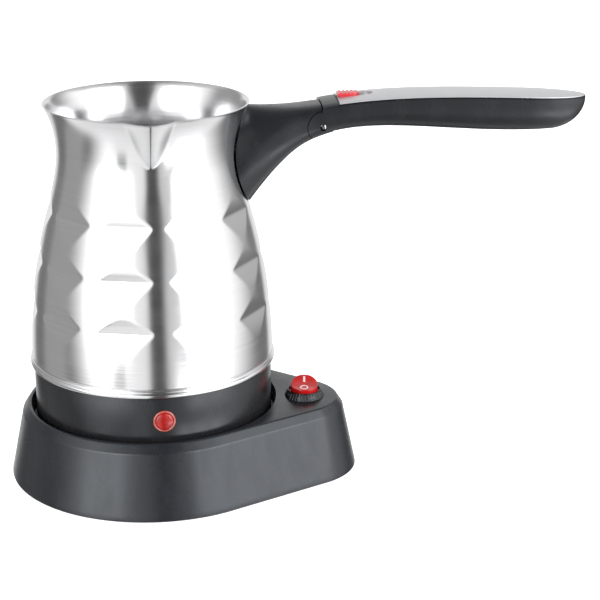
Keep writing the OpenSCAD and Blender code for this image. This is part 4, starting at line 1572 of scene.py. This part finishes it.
    def cover_section(self, x: float) -> list[Vec3]:
        """One section of the cover: flat below, crowned above, with soft edges.

        Args:
            x: Its place along the handle.

        Returns:
            Its points.
        """
        half, low = self.width(x, self.cover_in, self.cover_tip), self.seam.at(x) + 0.32
        edge = min(0.3, half * 0.5)
        brim = low + self.cover_edge - 0.58
        right = ((half - 0.1 * edge, -0.12), (half - 0.5 * edge, -0.02))
        flat = ((float(y), 0.0) for y in np.linspace(half - edge, edge - half, 21))
        left = ((-y, drop) for y, drop in reversed(right))
        upper = [(x, y, self.cover_top(x, y) + drop) for y, drop in (*right, *flat, *left)]
        return [(x, -half, low), (x, half, low), (x, half, brim), *upper, (x, -half, brim)]

    def build_cover(self) -> None:
        """Makes the silver cover with a soft edge, the slide's seat and the neck's slot."""
        stations = self.stations(self.cover_x0, self.cover_tip)
        cover = Form().loft(self.cover_section(x) for x in stations).mesh("silver_cover")
        start, high = self.cover_x0 - 1, self.pin_z + 20
        seat_end = self.slide_x0 + self.slider_l + self.travel + 0.3
        seat_z = self.slide_z0 - self.slide_gap
        carve(cover, self.round_ended(start, seat_end, self.slider_w + 0.3, seat_z, high))
        slot_end = self.slide_x0 + self.slot_l
        carve(cover, self.round_ended(start, slot_end, self.slot_half, self.pin_z, high))
        dress(cover, SILVER, Body.GRIP, ["grip_cover"], sharp=40.0)

    def build_pin(self) -> None:
        """Makes the hinge pin, whose ends are turned down to bright studs."""
        end, r = self.side_w - 0.3, self.pin_r
        half = [
            (r, end - 1.2), (r - 0.05, end - 1.05), (0.82, end - 0.95), (0.76, end - 0.15), (0.6, end),
        ]
        profile = [*((a, -b) for a, b in reversed(half)), *half]
        place = moved(self.pin_x, 0, self.pin_z) @ turned(-90, "X")
        pin = Form().revolve(profile, 48).mesh("steel_pin", place)
        dress(pin, PIN_STEEL, Body.GRIP, ["hinge_pin"], sharp=40.0)

    def build_slide(self) -> None:
        """Makes the red slide: a low block with cross ribs and a round back end, and its neck."""
        start, low, end = self.slide_x0, self.slide_z0, self.slide_x0 + self.slider_l
        ribs, floor, crest = 5, 1.36, 1.68
        profile = [(start, low), (start, low + floor - 0.15), (start + 0.12, low + floor)]
        for share in np.linspace(0.0, 1.0, ribs * 12 + 1):
            wave = 0.5 - 0.5 * math.cos(2 * math.pi * ribs * share)
            bump = (crest - floor) * smooth_step(1.5 * wave - 0.2)
            profile.append((start + 0.35 + (self.slider_l - 0.7) * share, low + floor + bump))
        profile += [(end - 0.12, low + floor), (end, low + floor - 0.15), (end, low)]
        w, middle = self.slider_w, low + 0.4
        sections = []
        side = ((-w, 0.8), (0.1 - w, 0.96), (0.3 - w, 1.0))
        for y, share in (*side, *((-y, share) for y, share in reversed(side))):
            sections.append([(x, y, z if z < middle else middle + (z - middle) * share) for x, z in profile])
        slide = Form().loft(sections).mesh("red_slide")
        carve(slide, self.round_ended(start - 1, end, w + 0.01, low - 1, low + 4), Cut.KEEP)
        neck = Form().block((start + 2, -1.3, self.bolt_z + 1.2), (start + 4.4, 1.3, low + 0.3))
        carve(slide, neck, Cut.ADD)
        dress(slide, SLIDE_RED, Body.LATCH, ["latch_slider"], sharp=40.0)

    def build(self, vessel: Vessel) -> None:
        """Makes all pieces of the handle.

        Args:
            vessel: The vessel that the root is fixed to.
        """
        self.build_root(vessel)
        self.build_shell()
        self.build_cover()
        self.build_pin()
        self.build_slide()


# ---------------------------------------------------------------- studio


@dataclass(frozen=True)
class Field:
    """An upright light or dark field of the surroundings, seen from the pot's axis.

    It shows its full level between two directions and fades out before and after them. Its
    edges move outwards by a lean, in degrees for a unit of height, above the horizon, just
    below it and deep down. It can be limited to a span of heights, with soft ends.
    """

    start: float
    end: float
    fade_in: float
    fade_out: float
    level: float
    low_lean: float = 0.0
    high_lean: float = 0.0
    deep_lean: float = 0.0
    heights: Pair | None = None
    soft: float = 0.12

    def lay(self, graph: Graph, level: Socket, sight: Sight) -> Socket:
        """Lays the field over the level so far.

        Args:
            graph: The graph of the surroundings.
            level: Brightness so far.
            sight: The direction looked into.

        Returns:
            Brightness with this field.
        """
        half = math.radians(self.end - self.start) / 2
        centre = math.radians(self.start + self.end) / 2
        aside = graph.math("WRAP", graph.math("SUBTRACT", sight.azimuth, centre), math.pi, -math.pi)
        low = graph.math("MULTIPLY", sight.below, math.radians(self.low_lean))
        high = graph.math("MULTIPLY", sight.above, math.radians(self.high_lean))
        deep = graph.math("MULTIPLY", sight.deep, math.radians(self.deep_lean))
        grown = graph.math("ADD", graph.math("ADD", low, high), deep)
        before, after = half + math.radians(self.fade_in), half + math.radians(self.fade_out)
        rising = graph.eased(graph.math("ADD", aside, grown), (-before, -half), (0.0, 1.0))
        falling = graph.eased(graph.math("SUBTRACT", aside, grown), (half, after), (1.0, 0.0))
        share = graph.math("MULTIPLY", rising, falling)
        if self.heights is not None:
            low_end, high_end = self.heights
            above = graph.eased(sight.height, (low_end - self.soft, low_end), (0.0, 1.0))
            below = graph.eased(sight.height, (high_end, high_end + self.soft), (1.0, 0.0))
            share = graph.math("MULTIPLY", graph.math("MULTIPLY", share, above), below)
        return graph.mixed(share, level, self.level)


class Sight:
    """The direction looked into: its azimuth, its height and how far it is from level.

    Heights within LEVEL of the horizon count as level. The height below them is counted down
    to LOW, and what lies under DEEP is counted apart.
    """

    LEVEL = 0.1
    LOW = -0.22
    DEEP = -0.34

    def __init__(self, graph: Graph) -> None:
        """Works the direction out.

        Args:
            graph: The graph of the surroundings.
        """
        split = graph.add("ShaderNodeSeparateXYZ")
        graph.link(graph.add("ShaderNodeTexCoord").outputs["Generated"], split.inputs["Vector"])
        self.height = split.outputs["Z"]
        self.azimuth = graph.math("ARCTAN2", split.outputs["Y"], split.outputs["X"])
        low = graph.math("MINIMUM", graph.math("ADD", self.height, self.LEVEL), 0.0)
        self.below = graph.math("MAXIMUM", low, self.LOW)
        self.above = graph.math("MAXIMUM", graph.math("SUBTRACT", self.height, self.LEVEL), 0.0)
        self.deep = graph.math("MAXIMUM", graph.math("SUBTRACT", self.DEEP, self.height), 0.0)


@dataclass
class Studio:
    """White surroundings with soft light and dark fields, a pale floor and the camera."""

    ground: Pair = (0.192, 0.36)
    fields: tuple[Field, ...] = (
        Field(150.0, 172.0, 12.0, 14.0, 0.38),
        Field(58.0, 112.0, 10.0, 14.0, 0.9, heights=(-0.38, 2.0)),
        Field(-154.0, -120.0, 34.0, 3.0, 1.35, 55.0, 30.0),
        Field(-62.0, -12.0, 5.0, 54.0, 1.35, 55.0, 30.0),
        Field(-117.0, -98.0, 3.0, 7.0, 1.06),
        Field(-78.0, -66.0, 8.0, 5.0, 0.74),
        Field(-146.0, -124.0, 18.0, 18.0, 3.5, heights=(-0.1, 0.5)),
        Field(-57.0, -26.0, 8.0, 18.0, 3.5, heights=(-0.1, 0.5)),
        Field(-146.0, -124.0, 18.0, 18.0, 6.0, heights=(0.36, 0.46)),
        Field(-57.0, -26.0, 8.0, 18.0, 6.0, heights=(0.36, 0.46)),
        Field(-66.0, -30.0, 8.0, 20.0, 3.6, heights=(-0.5, -0.42)),
        Field(-136.0, -114.0, 6.0, 4.0, 1.15, heights=(-2.0, -0.52)),
        Field(132.0, 225.0, 25.0, 25.0, 1.25, heights=(-2.0, -0.7)),
        Field(-45.0, 48.0, 25.0, 25.0, 1.25, heights=(-2.0, -0.7)),
    )
    strip: Field = Field(-92.0, -83.0, 3.0, 7.0, 0.08, 0.0, 22.0, 10.0)
    dusk: float = 0.62
    sky: float = 0.62
    zenith: float = 0.3
    floor_half: float = 4000.0
    floor_z: float = -0.05
    camera_place: Vec3 = (-19.4, -655.0, 290.1)
    camera_pitch: float = 18.51
    camera_turn: float = -7.0
    lens: float = 101.1

    def build_world(self) -> None:
        """Makes the surroundings: white to the camera, light fields to everything else."""
        world = bpy.data.worlds.new("studio")
        bpy.context.scene.world = world
        graph = Graph.emptied(world)
        sight = Sight(graph)
        level = graph.eased(sight.height, (-0.3, 0.35), self.ground)
        for each in self.fields:
            level = each.lay(graph, level, sight)
        level = graph.math("MULTIPLY", level, graph.eased(sight.height, (-1.0, -0.45), (self.dusk, 1.0)))
        for span, upper in (((0.5, 0.7), self.sky), ((0.84, 0.95), self.zenith)):
            level = graph.mixed(graph.eased(sight.height, span, (0.0, 1.0)), level, upper)
        level = self.strip.lay(graph, level, sight)
        path = graph.add("ShaderNodeLightPath").outputs
        seen = graph.math("MAXIMUM", path["Is Camera Ray"], path["Is Transmission Ray"])
        background = graph.add("ShaderNodeBackground")
        background.inputs["Color"].default_value = WHITE
        graph.link(graph.mixed(seen, level, 1.0), background.inputs["Strength"])
        output = graph.add("ShaderNodeOutputWorld")
        graph.link(background.outputs["Background"], output.inputs["Surface"])

    def build_floor(self) -> None:
        """Makes the pale floor, which keeps the shadow and stays out of reflections."""
        half = self.floor_half
        corners = ((-half, -half), (half, -half), (half, half), (-half, half))
        floor = Form()
        floor.faces.append(tuple(floor.ring((x, y, self.floor_z) for x, y in corners)))
        piece = floor.mesh("floor")
        material = bpy.data.materials.new("floor_paper")
        graph = Graph.emptied(material)
        paper = graph.add("ShaderNodeBsdfDiffuse")
        paper.inputs["Color"].default_value = (0.92, 0.92, 0.92, 1.0)
        glow = graph.add("ShaderNodeEmission")
        glow.inputs["Color"].default_value = WHITE
        seen = graph.add("ShaderNodeLightPath").outputs["Is Camera Ray"]
        graph.link(graph.math("MULTIPLY", seen, 0.75), glow.inputs["Strength"])
        total = graph.add("ShaderNodeAddShader")
        graph.link(paper.outputs["BSDF"], total.inputs[0])
        graph.link(glow.outputs["Emission"], total.inputs[1])
        output = graph.add("ShaderNodeOutputMaterial")
        graph.link(total.outputs["Shader"], output.inputs["Surface"])
        piece.data.materials.append(material)
        piece.visible_glossy = False

    def build_lamp(self) -> None:
        """Hangs one large soft lamp above and to the right of the front."""
        light = bpy.data.lights.new("soft_box", "AREA")
        light.shape = "SQUARE"
        light.size = 0.9
        light.energy = 9.0
        lamp = placed("soft_box", light)
        lamp.location = (0.6, -1.0, 1.2)
        lamp.rotation_euler = (Vector((0, 0, 0.08)) - lamp.location).to_track_quat("-Z", "Y").to_euler()
        lamp.visible_glossy = False

    def build_camera(self) -> None:
        """Puts the camera in its place and makes it the scene's camera."""
        data = bpy.data.cameras.new("camera")
        data.sensor_width = 36.0
        data.lens = self.lens
        data.clip_start = 0.01
        data.clip_end = 50.0
        camera = placed("camera", data)
        camera.location = tuple(v * MM for v in self.camera_place)
        pitch = math.radians(90 - self.camera_pitch)
        camera.rotation_euler = (pitch, 0.0, math.radians(self.camera_turn))
        bpy.context.scene.camera = camera

    def build(self) -> None:
        """Makes surroundings, floor, lamp and camera."""
        self.build_world()
        self.build_floor()
        self.build_lamp()
        self.build_camera()
        bpy.context.scene.view_settings.view_transform = "Standard"


def dress_nodes(nodes: dict[str, bpy.types.Object]) -> None:
    """Gives the solids that stay visible their finishes.

    Args:
        nodes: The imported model's solids by name.
    """
    for finish, names in NODE_FINISHES.items():
        for name in names:
            for slot in nodes[name].material_slots:
                slot.material = finish.material()
            log.info("%s: %s", name, finish.name)


def main() -> None:
    """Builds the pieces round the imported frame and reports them."""
    logging.basicConfig(level=logging.INFO, format="%(name)s: %(message)s")
    vessel = Vessel()
    handle = Handle()
    stages: list[tuple[str, Callable[[], None]]] = [
        ("studio", Studio().build),
        ("vessel", vessel.build),
        ("foot", Foot().build),
        ("base", PowerBase().build),
        ("switch", RockerSwitch().build),
        ("handle", lambda: handle.build(vessel)),
        ("solids", lambda: dress_nodes(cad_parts)),
    ]
    for name, build in stages:
        build()
        log.info("%s built", name)


if __name__ == "__main__":
    main()
